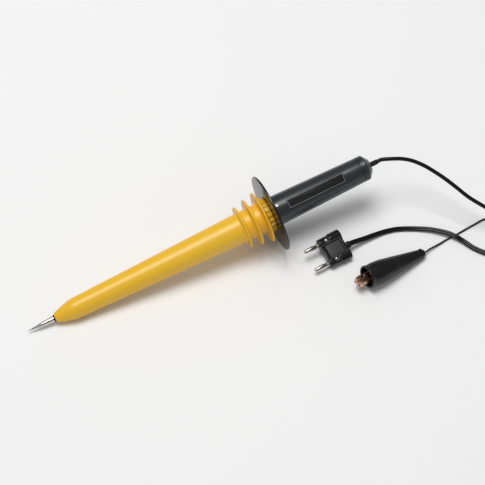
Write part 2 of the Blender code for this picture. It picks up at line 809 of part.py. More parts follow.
# ---------------------------------------------------------------- handle
def build_handle():
    lip_end = HANDLE_START + HANDLE_LIP_LENGTH
    stub_hole = STUB_RADIUS + SEAT
    stub_hole_end = STUB_END + SEAT
    handle = turned(
        "handle_shell",
        [
            (HANDLE_END, HANDLE_REAR_RADIUS),
            (lip_end + HANDLE_CHAMFER, handle_radius(lip_end + HANDLE_CHAMFER)),
            (lip_end, HANDLE_LIP_RADIUS),
            (HANDLE_START + HANDLE_CHAMFER, HANDLE_LIP_RADIUS),
            (HANDLE_START, HANDLE_LIP_RADIUS - HANDLE_CHAMFER),
            (HANDLE_START, stub_hole),
            (stub_hole_end, stub_hole),
            (stub_hole_end, HANDLE_BORE),
            (HANDLE_END, HANDLE_BORE),
        ],
        GREY,
        PROBE,
        hollow=True,
    )
    front = HANDLE_START + LABEL_START
    middle = front + LABEL_LENGTH / 2.0
    taper = math.atan2(
        handle_radius(front) - handle_radius(front + LABEL_LENGTH), LABEL_LENGTH
    )
    half_width = LABEL_WIDTH / 2.0 + SEAT
    surface = math.sqrt(handle_radius(middle) ** 2 - half_width ** 2)
    seat = empty("label_seat", (middle, 0.0, 0.0), (LABEL_ROLL, 0.0, 0.0), PROBE)
    slope = empty("label_slope", (0.0, 0.0, surface), (0.0, taper, 0.0), seat)
    floor = -LABEL_THICKNESS - SEAT
    pocket = box(
        "label_pocket",
        (-LABEL_LENGTH / 2.0 - SEAT, -half_width, floor),
        (LABEL_LENGTH / 2.0 + SEAT, half_width, HANDLE_LIP_RADIUS),
        GREY,
        slope,
    )
    screw_station = HANDLE_START + HANDLE_SCREW_PLACE
    screw_seat = empty(
        "handle_screw_seat", (screw_station, 0.0, 0.0), (HANDLE_SCREW_ROLL, 0.0, 0.0), PROBE
    )
    low = STUB_RADIUS + SEAT
    top = low + HANDLE_SCREW_LENGTH
    screw_hole = rod(
        "handle_screw_hole",
        (0.0, 0.0, STUB_RADIUS - BEYOND),
        (0.0, 0.0, HANDLE_LIP_RADIUS + BEYOND),
        HANDLE_SCREW_RADIUS + SEAT,
        GREY,
        screw_seat,
    )
    cut(handle, pocket, screw_hole)
    screw = rod(
        "handle_screw",
        (0.0, 0.0, low),
        (0.0, 0.0, top),
        HANDLE_SCREW_RADIUS,
        NICKEL,
        screw_seat,
    )
    drive = rod(
        "handle_screw_drive",
        (0.0, 0.0, top - HANDLE_SCREW_DRIVE_DEPTH),
        (0.0, 0.0, top + BEYOND),
        HANDLE_SCREW_DRIVE,
        NICKEL,
        screw_seat,
        sides=6,
    )
    cut(screw, drive)
    box(
        "label_plate",
        (-LABEL_LENGTH / 2.0, -LABEL_WIDTH / 2.0, floor + SEAT),
        (LABEL_LENGTH / 2.0, LABEL_WIDTH / 2.0, 0.0),
        LABEL_BLACK,
        slope,
    )


def build_end_cap():
    cone_start = CAP_END - CAP_CONE_LENGTH
    groove_floor = HANDLE_REAR_RADIUS - CAP_GROOVE_DEPTH
    outer = [(CAP_END, CAP_FACE_RADIUS), (cone_start, HANDLE_REAR_RADIUS)]
    for index in reversed(range(CAP_GROOVES)):
        low = CAP_START + CAP_GROOVE_WIDTH + CAP_GROOVE_PITCH * index
        high = low + CAP_GROOVE_WIDTH
        outer += [
            (high, HANDLE_REAR_RADIUS),
            (high, groove_floor),
            (low, groove_floor),
            (low, HANDLE_REAR_RADIUS),
        ]
    spigot = HANDLE_BORE - SEAT
    flange_seat = CAP_END - CAP_CONE_LENGTH + SEAT
    flange_hole = GLAND_FLANGE_RADIUS + SEAT
    gland_hole = GLAND_RADIUS + SEAT
    outer += [
        (CAP_START, HANDLE_REAR_RADIUS),
        (CAP_START, spigot),
        (CAP_START - CAP_SPIGOT_LENGTH, spigot),
    ]
    inner = [
        (CAP_START - CAP_SPIGOT_LENGTH, spigot - CAP_SPIGOT_WALL),
        (CAP_START, spigot - CAP_SPIGOT_WALL),
        (CAP_START, flange_hole),
        (flange_seat, flange_hole),
        (flange_seat, gland_hole),
        (CAP_END, gland_hole),
    ]
    turned("handle_end_cap", outer + inner, GREY, PROBE, hollow=True)
    flange_rear = flange_seat - SEAT
    turned(
        "cable_gland",
        [
            (GLAND_END, 0.0),
            (GLAND_END, GLAND_RADIUS),
            (flange_rear, GLAND_RADIUS),
            (flange_rear, GLAND_FLANGE_RADIUS),
            (flange_rear - GLAND_FLANGE_THICKNESS, GLAND_FLANGE_RADIUS),
            (flange_rear - GLAND_FLANGE_THICKNESS, 0.0),
        ],
        CORD_BLACK,
        PROBE,
        sides=MEDIUM,
    )
    return flange_rear - GLAND_FLANGE_THICKNESS


def build_board(gland_inner_face):
    half_thick = BOARD_THICKNESS / 2.0
    reach = HANDLE_BORE - SEAT
    half_width = math.sqrt(reach ** 2 - half_thick ** 2)
    box(
        "divider_board",
        (BOARD_START, -half_width, -half_thick),
        (BOARD_END, half_width, half_thick),
        BOARD_GREEN,
        PROBE,
    )
    top = half_thick + SEAT
    low_start = BOARD_START + LOW_RESISTOR_PLACE
    centre = top + LOW_RESISTOR_RADIUS
    rod(
        "divider_resistor",
        (low_start, 0.0, centre),
        (low_start + LOW_RESISTOR_LENGTH, 0.0, centre),
        LOW_RESISTOR_RADIUS,
        CERAMIC,
        PROBE,
    )
    trimmer_start = BOARD_START + TRIMMER_PLACE
    trimmer_top = top + TRIMMER_HEIGHT
    half_side = TRIMMER_SIDE / 2.0
    trimmer = box(
        "calibration_trimmer",
        (trimmer_start, -half_side, top),
        (trimmer_start + TRIMMER_SIDE, half_side, trimmer_top),
        TRIMMER_BLUE,
        PROBE,
    )
    dip = rod(
        "trimmer_screw_hole",
        (trimmer_start + half_side, 0.0, trimmer_top - TRIMMER_SCREW_DEPTH),
        (trimmer_start + half_side, 0.0, trimmer_top + BEYOND),
        TRIMMER_SCREW_RADIUS,
        BRASS,
        PROBE,
    )
    cut(trimmer, dip)
    for name, side, finish in (("signal_wire", -1.0, WIRE_RED), ("shield_wire", 1.0, CORD_BLACK)):
        across = side * OUTPUT_WIRE_SPACING / 2.0
        tube(
            name,
            [(BOARD_END + SEAT, across, 0.0), (gland_inner_face - SEAT, across, 0.0)],
            OUTPUT_WIRE_RADIUS,
            finish,
            PROBE,
        )


# ---------------------------------------------------------------- plug
def plug_frame():
    """Front face centre between the pins; X leads out along the pins, Z is the plug's top."""
    half_fall = PIN_SPACING / 2.0 * math.sin(-PLUG_ROLL)
    height = PLUG_SLEEVE_RADIUS + half_fall
    return empty("plug_frame", (*PLUG_PLACE, height), (PLUG_ROLL, 0.0, PLUG_HEADING))


def build_plug_body(frame):
    half = PIN_SPACING / 2.0
    body = box(
        "plug_body",
        (-PLUG_LENGTH, -half, -PLUG_WEB_BOTTOM),
        (-SLIP, half, PLUG_WEB_TOP),
        PLUG_BLACK,
        frame,
    )
    tools = []
    for side, word in ((1.0, "near"), (-1.0, "far")):
        tools.append(
            turned(
                f"plug_barrel_{word}",
                [
                    (0.0, 0.0),
                    (0.0, PLUG_BARREL_RADIUS - PLUG_EDGE),
                    (-PLUG_EDGE, PLUG_BARREL_RADIUS),
                    (-PLUG_LENGTH + PLUG_SLEEVE_LENGTH, PLUG_BARREL_RADIUS),
                    (-PLUG_LENGTH + PLUG_SLEEVE_LENGTH, PLUG_SLEEVE_RADIUS),
                    (-PLUG_LENGTH - SLIP, PLUG_SLEEVE_RADIUS),
                    (-PLUG_LENGTH - SLIP, 0.0),
                ],
                PLUG_BLACK,
                frame,
                sides=MEDIUM,
                where=(0.0, side * half, 0.0),
            )
        )
    join(body, *tools)
    holes = []
    for side, word in ((1.0, "near"), (-1.0, "far")):
        across = side * half
        holes.append(
            rod(
                f"pin_hole_{word}",
                (-PIN_DEPTH - SEAT, across, 0.0),
                (BEYOND, across, 0.0),
                PIN_STEM_RADIUS + SEAT,
                PLUG_BLACK,
                frame,
            )
        )
        holes.append(
            rod(
                f"set_screw_hole_{word}",
                (-SET_SCREW_PLACE, across, PIN_STEM_RADIUS),
                (-SET_SCREW_PLACE, across, PLUG_BARREL_RADIUS + BEYOND),
                SET_SCREW_RADIUS + SEAT,
                PLUG_BLACK,
                frame,
            )
        )
    cover_seat = empty("cover_seat", (-PLUG_LENGTH / 2.0, 0.0, PLUG_WEB_TOP), parent=frame)
    half_length, half_width = COVER_LENGTH / 2.0, COVER_WIDTH / 2.0
    recess = box(
        "cover_recess",
        (-half_length - SEAT, -half_width - SEAT, -COVER_THICKNESS),
        (half_length + SEAT, half_width + SEAT, BEYOND),
        PLUG_BLACK,
        cover_seat,
    )
    cut(body, *holes, recess)
    box(
        "plug_cover",
        (-half_length, -half_width, SEAT - COVER_THICKNESS),
        (half_length, half_width, SEAT),
        COVER_GREY,
        cover_seat,
    )


def build_pin(word, side, frame):
    """One banana pin, its spring cage and its set screw."""
    across = side * PIN_SPACING / 2.0
    where = (0.0, across, 0.0)
    collar_start = SEAT
    collar_end = collar_start + PIN_COLLAR_LENGTH
    nose_start = PIN_REACH - PIN_NOSE_LENGTH
    turned(
        f"banana_pin_{word}",
        [
            (PIN_REACH, 0.0),
            (PIN_REACH, PIN_NOSE_END),
            (PIN_REACH - PIN_NOSE_END, PIN_NOSE_RADIUS),
            (nose_start, PIN_NOSE_RADIUS),
            (nose_start, PIN_CORE_RADIUS),
            (collar_end, PIN_CORE_RADIUS),
            (collar_end, PIN_COLLAR_RADIUS),
            (collar_start, PIN_COLLAR_RADIUS),
            (collar_start, PIN_STEM_RADIUS),
            (-PIN_DEPTH, PIN_STEM_RADIUS),
            (-PIN_DEPTH, 0.0),
        ],
        NICKEL,
        frame,
        sides=FINE,
        where=where,
    )
    inner = PIN_CORE_RADIUS + SEAT
    outer = inner + CAGE_WALL
    low, high = collar_end + SEAT, nose_start - SEAT
    bulge = [math.sin(math.pi * step / CAGE_STEPS) * CAGE_BULGE for step in range(CAGE_STEPS + 1)]
    stations = [high + (low - high) * step / CAGE_STEPS for step in range(CAGE_STEPS + 1)]
    outline = [(s, outer + b) for s, b in zip(stations, bulge)]
    outline += [(s, inner + b) for s, b in reversed(list(zip(stations, bulge)))]
    cage = turned(f"pin_spring_{word}", outline, NICKEL, frame, True, FINE, where)
    for index in range(CAGE_LEAVES // 2):
        slot = box(
            f"cage_slot_{word}_{index}",
            (low + CAGE_RIM, -PIN_COLLAR_RADIUS - BEYOND, -CAGE_SLOT / 2.0),
            (high - CAGE_RIM, PIN_COLLAR_RADIUS + BEYOND, CAGE_SLOT / 2.0),
            NICKEL,
            frame,
        )
        slot.location = ((low + high) / 2.0, across, 0.0)
        slot.rotation_euler = (CAGE_TURN + 2.0 * math.pi * index / CAGE_LEAVES, 0.0, 0.0)
        cut(cage, slot)
    screw_top = PIN_STEM_RADIUS + SEAT + SET_SCREW_LENGTH
    screw_seat = empty(f"set_screw_seat_{word}", (-SET_SCREW_PLACE, across, screw_top), parent=frame)
    screw = rod(
        f"set_screw_{word}",
        (0.0, 0.0, -SET_SCREW_LENGTH),
        (0.0, 0.0, 0.0),
        SET_SCREW_RADIUS,
        NICKEL,
        screw_seat,
    )
    slot = box(
        f"set_screw_slot_{word}",
        (-SET_SCREW_RADIUS - BEYOND, -SET_SCREW_SLOT_WIDTH / 2.0, -SET_SCREW_SLOT_DEPTH),
        (SET_SCREW_RADIUS + BEYOND, SET_SCREW_SLOT_WIDTH / 2.0, BEYOND),
        NICKEL,
        screw_seat,
    )
    cut(screw, slot)


def oval(width, height, count):
    """An oval outline, flat above and below, for the twin cable and its sleeve."""
    half_run = (width - height) / 2.0
    points = []
    for index in range(count):
        angle = -2.0 * math.pi * (index + 0.5) / count
        shift = half_run if math.cos(angle) > 0.0 else -half_run
        points.append((shift + height / 2.0 * math.cos(angle), height / 2.0 * math.sin(angle)))
    return points


def build_plug_relief(frame):
    """The short oval sleeve where the twin cable enters the plug."""
    width = PLUG_CABLE_WIDTH + 2.0 * RELIEF_MARGIN
    height = PLUG_CABLE_HEIGHT + 2.0 * RELIEF_MARGIN
    outline = oval(width, height, MEDIUM)
    sleeve = flat("plug_strain_relief", [outline], 0.0, RELIEF_LENGTH, PLUG_BLACK, frame)
    rear = -PLUG_LENGTH - SLIP - SEAT
    sleeve.location = (rear - RELIEF_LENGTH / 2.0, RELIEF_OFFSET, 0.0)
    sleeve.rotation_euler = (math.pi / 2.0, 0.0, math.pi / 2.0)
    return rear - RELIEF_LENGTH - SEAT


# ---------------------------------------------------------------- ground clip
BOOT_INNER_MOUTH = BOOT_MOUTH_RADIUS - BOOT_WALL
BOOT_INNER_BELLY = BOOT_BELLY_RADIUS - BOOT_WALL
BOOT_INNER_TAIL = BOOT_TAIL_RADIUS - BOOT_WALL
BOOT_INNER_END = BOOT_LENGTH - BOOT_TAIL_WALL
BOOT_PITCH = math.atan2(
    BOOT_BELLY_RADIUS - BOOT_TAIL_RADIUS, BOOT_LENGTH - BOOT_BELLY_END
)  # the tail lies on the surface too
PIVOT = Vector((-JAW_PIVOT, 0.0, -JAW_DROP))


def clip_frame():
    """Boot mouth centre; X leads out along the jaws, Y to the near side."""
    belly = BOOT_BELLY_RADIUS * math.cos(BOOT_PITCH)
    height = belly + BOOT_BELLY_END * math.sin(BOOT_PITCH)
    return empty("clip_frame", (*CLIP_MOUTH, height), (0.0, -BOOT_PITCH, CLIP_HEADING))


def build_boot(frame):
    wire_hole = GROUND_LEAD / 2.0 + SEAT
    turned(
        "clip_boot",
        [
            (0.0, BOOT_MOUTH_RADIUS),
            (-BOOT_BELLY_START, BOOT_BELLY_RADIUS),
            (-BOOT_BELLY_END, BOOT_BELLY_RADIUS),
            (-BOOT_LENGTH, BOOT_TAIL_RADIUS),
            (-BOOT_LENGTH, wire_hole),
            (-BOOT_INNER_END, wire_hole),
            (-BOOT_INNER_END, BOOT_INNER_TAIL),
            (-BOOT_BELLY_END, BOOT_INNER_BELLY),
            (-BOOT_BELLY_START, BOOT_INNER_BELLY),
            (0.0, BOOT_INNER_MOUTH),
        ],
        RUBBER,
        frame,
        hollow=True,
    )


def teeth(side):
    """The parting edge of a jaw plate from its tip back to the mouth, as (x, y) points."""
    pitch = JAW_REACH / JAW_TEETH
    made = [(JAW_REACH, side * JAW_PART_GAP)]
    for index in range(JAW_TEETH):
        x = JAW_REACH - pitch * index
        crown = JAW_TOOTH_CROWN * math.sin(math.pi * (index + 0.5) / JAW_TEETH)
        made.append((x - pitch / 2.0, side * JAW_PART_GAP + JAW_TOOTH_DEPTH + crown))
        made.append((x - pitch, side * JAW_PART_GAP))
    return made


def solid_from(name, outline, half_height, frame):
    """A block of the outline's shape, as high above the clip's middle plane as below it."""
    return as_mesh(flat(name, [outline], -half_height - JAW_DROP, half_height - JAW_DROP, COPPER, frame))


JAW_INSIDE = JAW_HALF_HEIGHT - JAW_SHEET  # half height of the space inside a jaw
JAW_REAR = -JAW_PIVOT - JAW_REAR_REACH  # rear edge of the jaws behind the rivet
EAR_OUT = JAW_HALF_HEIGHT + SEAT + JAW_SHEET  # half height of the moving jaw at the rivet
FAR = BOOT_LENGTH  # a cutter's reach past the piece that it cuts


def strip_end():
    """Where the tail strip's corner comes to the boot's inner wall."""
    corner = math.hypot(TAIL_STRIP_WIDTH / 2.0, JAW_DROP + JAW_HALF_HEIGHT) + SEAT
    share = (BOOT_INNER_BELLY - corner) / (BOOT_INNER_BELLY - BOOT_INNER_TAIL)
    return BOOT_BELLY_END + share * (BOOT_INNER_END - BOOT_BELLY_END)


def rivet_hole(name, frame):
    reach = Vector((0.0, 0.0, EAR_OUT + BEYOND))
    return rod(name, PIVOT - reach, PIVOT + reach, RIVET_RADIUS + SEAT, COPPER, frame)


def build_fixed_jaw(frame):
    """The jaw with the tail strip that carries the wire, and one of the two squeeze levers."""
    half = TAIL_STRIP_WIDTH / 2.0
    wall = JAW_HALF_WIDTH - JAW_SHEET
    lever_end = -JAW_PIVOT - LEVER_LENGTH
    outline = teeth(1.0) + [
        (-JAW_PIVOT + JAW_HEEL, JAW_PART_GAP),
        (-JAW_PIVOT + JAW_EAR, -JAW_EAR),
        (JAW_REAR, -half),
        (-strip_end(), -half),
        (-strip_end(), half),
        (JAW_REAR, half),
        (JAW_REAR, wall),
        (lever_end, wall),
        (lever_end, JAW_HALF_WIDTH),
        (JAW_REACH - JAW_TAPER, JAW_HALF_WIDTH),
        (JAW_REACH, JAW_TIP_HALF_WIDTH),
    ]
    jaw = solid_from("clip_fixed_jaw", outline, JAW_HALF_HEIGHT, frame)
    hollow = flat(
        "fixed_jaw_hollow",
        [
            [
                (-FAR, -JAW_INSIDE),
                (JAW_REACH - JAW_SHEET, -JAW_INSIDE),
                (JAW_REACH - JAW_SHEET, JAW_INSIDE),
                (JAW_REAR + SEAT, JAW_INSIDE),
                (JAW_REAR + SEAT, FAR),
                (-FAR, FAR),
            ]
        ],
        SLIP - wall,
        FAR,
        COPPER,
        frame,
    )
    hollow.location = (0.0, (wall - SLIP - FAR) / 2.0, -JAW_DROP)
    hollow.rotation_euler = (math.pi / 2.0, 0.0, 0.0)
    over_lever = box(
        "fixed_lever_top",
        (-FAR, wall - SEAT, LEVER_HALF_HEIGHT - JAW_DROP),
        (JAW_REAR + SEAT / 2.0, JAW_HALF_WIDTH + BEYOND, FAR),
        COPPER,
        frame,
    )
    under_lever = box(
        "fixed_lever_bottom",
        (-FAR, wall - SEAT, -FAR),
        (JAW_REAR + SEAT / 2.0, JAW_HALF_WIDTH + BEYOND, -LEVER_HALF_HEIGHT - JAW_DROP),
        COPPER,
        frame,
    )
    x = -strip_end() + TERMINAL_PLACE
    terminal_hole = rod(
        "terminal_hole",
        (x, 0.0, -JAW_DROP - JAW_HALF_HEIGHT - BEYOND),
        (x, 0.0, -JAW_DROP),
        TERMINAL_RADIUS + SEAT,
        COPPER,
        frame,
    )
    pivot_hole = rivet_hole("fixed_rivet_hole", frame)
    cut(jaw, as_mesh(hollow), over_lever, under_lever, pivot_hole, terminal_hole)


def jaw_hollow(name, start, end, half_height, wall, frame):
    """The space inside the moving jaw, open towards the fixed one."""
    return box(
        name,
        (start, wall, -half_height - JAW_DROP),
        (end, JAW_HALF_WIDTH + BEYOND, half_height - JAW_DROP),
        COPPER,
        frame,
    )


def build_moving_jaw(frame):
    """The jaw that swings about the rivet; its origin is on the rivet's axis."""
    hinge = empty("jaw_hinge", PIVOT, (0.0, 0.0, 0.0), frame)
    wall = -JAW_HALF_WIDTH + JAW_SHEET
    ear_front = -JAW_NECK + SEAT
    front = teeth(-1.0) + [
        (-JAW_EAR, -JAW_PART_GAP),
        (-JAW_NECK, wall),
        (-JAW_NECK, -JAW_HALF_WIDTH),
        (JAW_REACH - JAW_TAPER, -JAW_HALF_WIDTH),
        (JAW_REACH, -JAW_TIP_HALF_WIDTH),
    ]
    jaw = solid_from("clip_moving_jaw", front, JAW_HALF_HEIGHT, frame)
    ear_outline = [(ear_front, -JAW_HALF_WIDTH - SLIP), (ear_front, wall - SLIP)]
    for step in range(EAR_STEPS):
        angle = math.pi * (step + 0.5) / EAR_STEPS
        ear_outline.append((-JAW_PIVOT + JAW_EAR * math.cos(angle), JAW_EAR * math.sin(angle)))
    ear_outline += [(JAW_REAR, wall - SLIP), (JAW_REAR, -JAW_HALF_WIDTH - SLIP)]
    ears = solid_from("moving_ears", ear_outline, EAR_OUT, frame)
    ear_space = jaw_hollow(
        "moving_ear_space", -FAR, FAR, EAR_OUT - JAW_SHEET, wall - SLIP, frame
    )
    cut(ears, ear_space)
    front_space = jaw_hollow(
        "moving_jaw_hollow", -FAR, JAW_REACH - JAW_SHEET, JAW_INSIDE, wall, frame
    )
    lever = box(
        "moving_lever",
        (-JAW_PIVOT - LEVER_LENGTH, -JAW_HALF_WIDTH + SLIP, -LEVER_HALF_HEIGHT - JAW_DROP),
        (JAW_REAR + SEAT, wall - 2.0 * SLIP, LEVER_HALF_HEIGHT - JAW_DROP),
        COPPER,
        frame,
    )
    cut(jaw, front_space)
    join(jaw, ears, lever)
    wire_hole = rod(
        "moving_wire_hole",
        (JAW_HOLE_PLACE, -JAW_HOLE_SIDE, -JAW_DROP),
        (JAW_HOLE_PLACE, -JAW_HOLE_SIDE, JAW_HALF_HEIGHT + BEYOND),
        JAW_HOLE_RADIUS,
        COPPER,
        frame,
    )
    cut(jaw, rivet_hole("moving_rivet_hole", frame), wire_hole)
    bpy.context.view_layer.update()
    jaw.data.transform(hinge.matrix_world.inverted() @ jaw.matrix_world)
    place(jaw, hinge)


def build_clip_fittings(frame):
    head = EAR_OUT + SEAT
    end = head + RIVET_HEAD_THICKNESS
    rivet = empty("rivet_frame", PIVOT, (0.0, -math.pi / 2.0, 0.0), frame)
    turned(
        "clip_rivet",
        [
            (end, 0.0),
            (end, RIVET_HEAD_RADIUS),
            (head, RIVET_HEAD_RADIUS),
            (head, RIVET_RADIUS),
            (-head, RIVET_RADIUS),
            (-head, RIVET_HEAD_RADIUS),
            (-end, RIVET_HEAD_RADIUS),
            (-end, 0.0),
        ],
        STEEL,
        rivet,
        sides=FINE,
    )
    coil_radius = RIVET_RADIUS + 2.0 * SEAT + CLIP_SPRING_WIRE
    reach = JAW_HALF_HEIGHT - JAW_SHEET - SEAT - CLIP_SPRING_WIRE
    count = CLIP_SPRING_CURLS * SPRING_POINTS + SPRING_POINTS // 2
    points = []
    leg = JAW_HALF_WIDTH - JAW_SHEET - SEAT - CLIP_SPRING_WIRE
    for index in range(count + 1):
        angle = math.pi / 2.0 - 2.0 * math.pi * index / SPRING_POINTS
        rise = -reach + 2.0 * reach * index / count - JAW_DROP
        back = -JAW_PIVOT - coil_radius * math.cos(angle)
        points.append((back, coil_radius * math.sin(angle), rise))
    leg_end = -JAW_PIVOT - CLIP_SPRING_LEG
    first, last = (leg_end, leg, points[0][2]), (leg_end, -leg, points[-1][2])
    tube("clip_spring", [first, *points, last], CLIP_SPRING_WIRE, STEEL, frame, 1)
    x = -strip_end() + TERMINAL_PLACE
    top = -JAW_INSIDE - JAW_DROP + SEAT
    screw = empty("terminal_frame", (x, 0.0, top), (0.0, -math.pi / 2.0, 0.0), frame)
    turned(
        "clip_terminal_screw",
        [
            (TERMINAL_HEAD_THICKNESS, 0.0),
            (TERMINAL_HEAD_THICKNESS, TERMINAL_HEAD_RADIUS - TERMINAL_EDGE),
            (TERMINAL_HEAD_THICKNESS - TERMINAL_EDGE, TERMINAL_HEAD_RADIUS),
            (0.0, TERMINAL_HEAD_RADIUS),
            (0.0, TERMINAL_RADIUS),
            (-JAW_SHEET - 2.0 * SEAT, TERMINAL_RADIUS),
            (-JAW_SHEET - 2.0 * SEAT, 0.0),
        ],
        STEEL,
        screw,
        sides=FINE,
    )
    wire_end = (x - TERMINAL_HEAD_RADIUS - SEAT - GROUND_LEAD / 2.0, 0.0, top + GROUND_LEAD / 2.0)
    tube(
        "clip_wire",
        [(-BOOT_LENGTH, 0.0, 0.0), (-BOOT_INNER_END + GROUND_LEAD, 0.0, 0.0), wire_end],
        GROUND_LEAD / 2.0,
        CORD_BLACK,
        frame,
    )


# ---------------------------------------------------------------- cords
def smooth(points):
    """A smooth curve through the points, densely sampled."""
    points = [Vector(p) for p in points]
    padded = [points[0] * 2.0 - points[1], *points, points[-1] * 2.0 - points[-2]]
    made = []
    for index in range(1, len(padded) - 2):
        a, b, c, d = padded[index - 1 : index + 3]
        for step in range(SMOOTH_SAMPLES):
            t = step / SMOOTH_SAMPLES
            made.append(
                0.5
                * (
                    2.0 * b
                    + (c - a) * t
                    + (2.0 * a - 5.0 * b + 4.0 * c - d) * t ** 2
                    + (3.0 * b - a - 3.0 * c + d) * t ** 3
                )
            )
    made.append(points[-1])
    return made


def length_of(points):
    return sum((b - a).length for a, b in zip(points, points[1:]))


def spaced(points, step):
    """The same line with evenly spaced points and both ends kept."""
    total = length_of(points)
    count = max(2, round(total / step))
    made, walked, index = [points[0]], 0.0, 0
    for number in range(1, count):
        target = total * number / count
        while walked + (points[index + 1] - points[index]).length < target:
            walked += (points[index + 1] - points[index]).length
            index += 1
        span = points[index + 1] - points[index]
        made.append(points[index] + span * ((target - walked) / span.length))
    made.append(points[-1])
    return made


def route(start, start_way, chosen, end, end_way, straight, step):
    """A free stretch: straight out of its start, through the chosen points, straight into its end."""
    start, end = Vector(start), Vector(end)
    first, last = start + start_way * straight, end - end_way * straight
    line = smooth([start, first, *chosen, last, end])
    return [start, *spaced(line[SMOOTH_SAMPLES:-SMOOTH_SAMPLES], step), end]


def coil_line(centre, radius, diameter, turns, entry, way, low):
    """Loops that spiral in on the lower layer, climb at the turning point and spiral out above.
    way is +1 for anticlockwise seen from above, -1 for clockwise."""
    pitch = diameter + COIL_PLAY
    count = round(turns * COIL_POINTS)
    middle = turns / 2.0
    made = []
    for index in range(count + 1):
        done = turns * index / count
        angle = entry + way * 2.0 * math.pi * done
        r = radius - pitch * min(done, turns - done)
        climb = min(1.0, max(0.0, (done - middle) / COIL_CLIMB + 0.5))
        x, y = centre[0] + r * math.cos(angle), centre[1] + r * math.sin(angle)
        made.append(Vector((x, y, low + pitch * climb)))
    return made


def heading(points, at_end):
    """The level direction of a line at one of its ends."""
    way = points[-1] - points[-2] if at_end else points[1] - points[0]
    way.z = 0.0
    return way.normalized()


def ease(start, start_way, end, end_way):
    """Points of an easy bend between two places with given directions."""
    pull = (end - start).length
    made = []
    for step in range(1, BEND_POINTS):
        t = step / BEND_POINTS
        a = 2 * t ** 3 - 3 * t ** 2 + 1
        b = t ** 3 - 2 * t ** 2 + t
        c = -2 * t ** 3 + 3 * t ** 2
        d = t ** 3 - t ** 2
        made.append(start * a + start_way * pull * b + end * c + end_way * pull * d)
    return made


def least_gap(points, diameter):
    """Least clear space between stretches of one line that aren't neighbours."""
    apart = round(math.pi * diameter / (points[1] - points[0]).length) + 2
    best = 1.0
    for i, a in enumerate(points):
        for j in range(i + apart, len(points)):
            b = points[j]
            c = points[j - 1]
            span = b - c
            share = min(1.0, max(0.0, (a - c).dot(span) / span.length_squared))
            best = min(best, (a - c - span * share).length)
    return best - diameter


def coil_with_ends(line, diameter, end, end_way):
    """The coil's whole line: straight in, the loops, an easy bend to its end, straight out."""
    first_way, last_way = heading(line, False), heading(line, True)
    target = end - end_way * diameter
    bend = ease(line[-1], last_way, target, end_way)
    return [line[0] - first_way * diameter, *line, *bend, target, end]


def tie(name, centre, angle, inner_radius, outer_radius, diameter, low, width):
    """A flat strap round the bundle of a coil."""
    pitch = diameter + COIL_PLAY
    inside_half_width = (outer_radius - inner_radius + diameter) / 2.0 + SEAT
    inside_half_height = (pitch + diameter) / 2.0 + SEAT
    loops = []
    for grow in (TIE_THICKNESS, 0.0):
        half_width, half_height = inside_half_width + grow, inside_half_height + grow
        corner = diameter / 2.0 + grow
        outline = []
        for quarter, (sx, sy) in enumerate(((1, 1), (-1, 1), (-1, -1), (1, -1))):
            for step in range(TIE_CORNER_STEPS + 1):
                turn = math.pi / 2.0 * (quarter + step / TIE_CORNER_STEPS)
                x = sx * (half_width - corner) + corner * math.cos(turn)
                y = sy * (half_height - corner) + corner * math.sin(turn)
                outline.append((x, y))
        loops.append(outline)
    middle = (inner_radius + outer_radius) / 2.0
    x, y = centre[0] + middle * math.cos(angle), centre[1] + middle * math.sin(angle)
    strap = flat(name, loops, 0.0, width, CORD_BLACK, None)
    strap.location = (x, y, low + pitch / 2.0)
    strap.rotation_euler = Euler((math.pi / 2.0, 0.0, angle), "XYZ")
    return strap


def build_yoke():
    """The moulded block where the round cable parts into the twin cable and the ground lead."""
    height = YOKE_HEIGHT / 2.0
    frame = empty("yoke_frame", (*YOKE_PLACE, height), (0.0, 0.0, YOKE_HEADING))
    shape = bmesh.new()
    bmesh.ops.create_cube(shape, size=1.0)
    for vert in shape.verts:
        width = YOKE_FRONT_WIDTH if vert.co.x > 0.0 else YOKE_REAR_WIDTH
        vert.co = Vector((vert.co.x * YOKE_LENGTH, vert.co.y * width, vert.co.z * YOKE_HEIGHT))
    yoke = mesh_object("breakout_yoke", shape, PLUG_BLACK)
    edge = yoke.modifiers.new("rounded_edges", "BEVEL")
    edge.width = YOKE_EDGE
    edge.segments = YOKE_EDGE_STEPS
    edge.limit_method = "ANGLE"
    place(yoke, frame)
    return frame


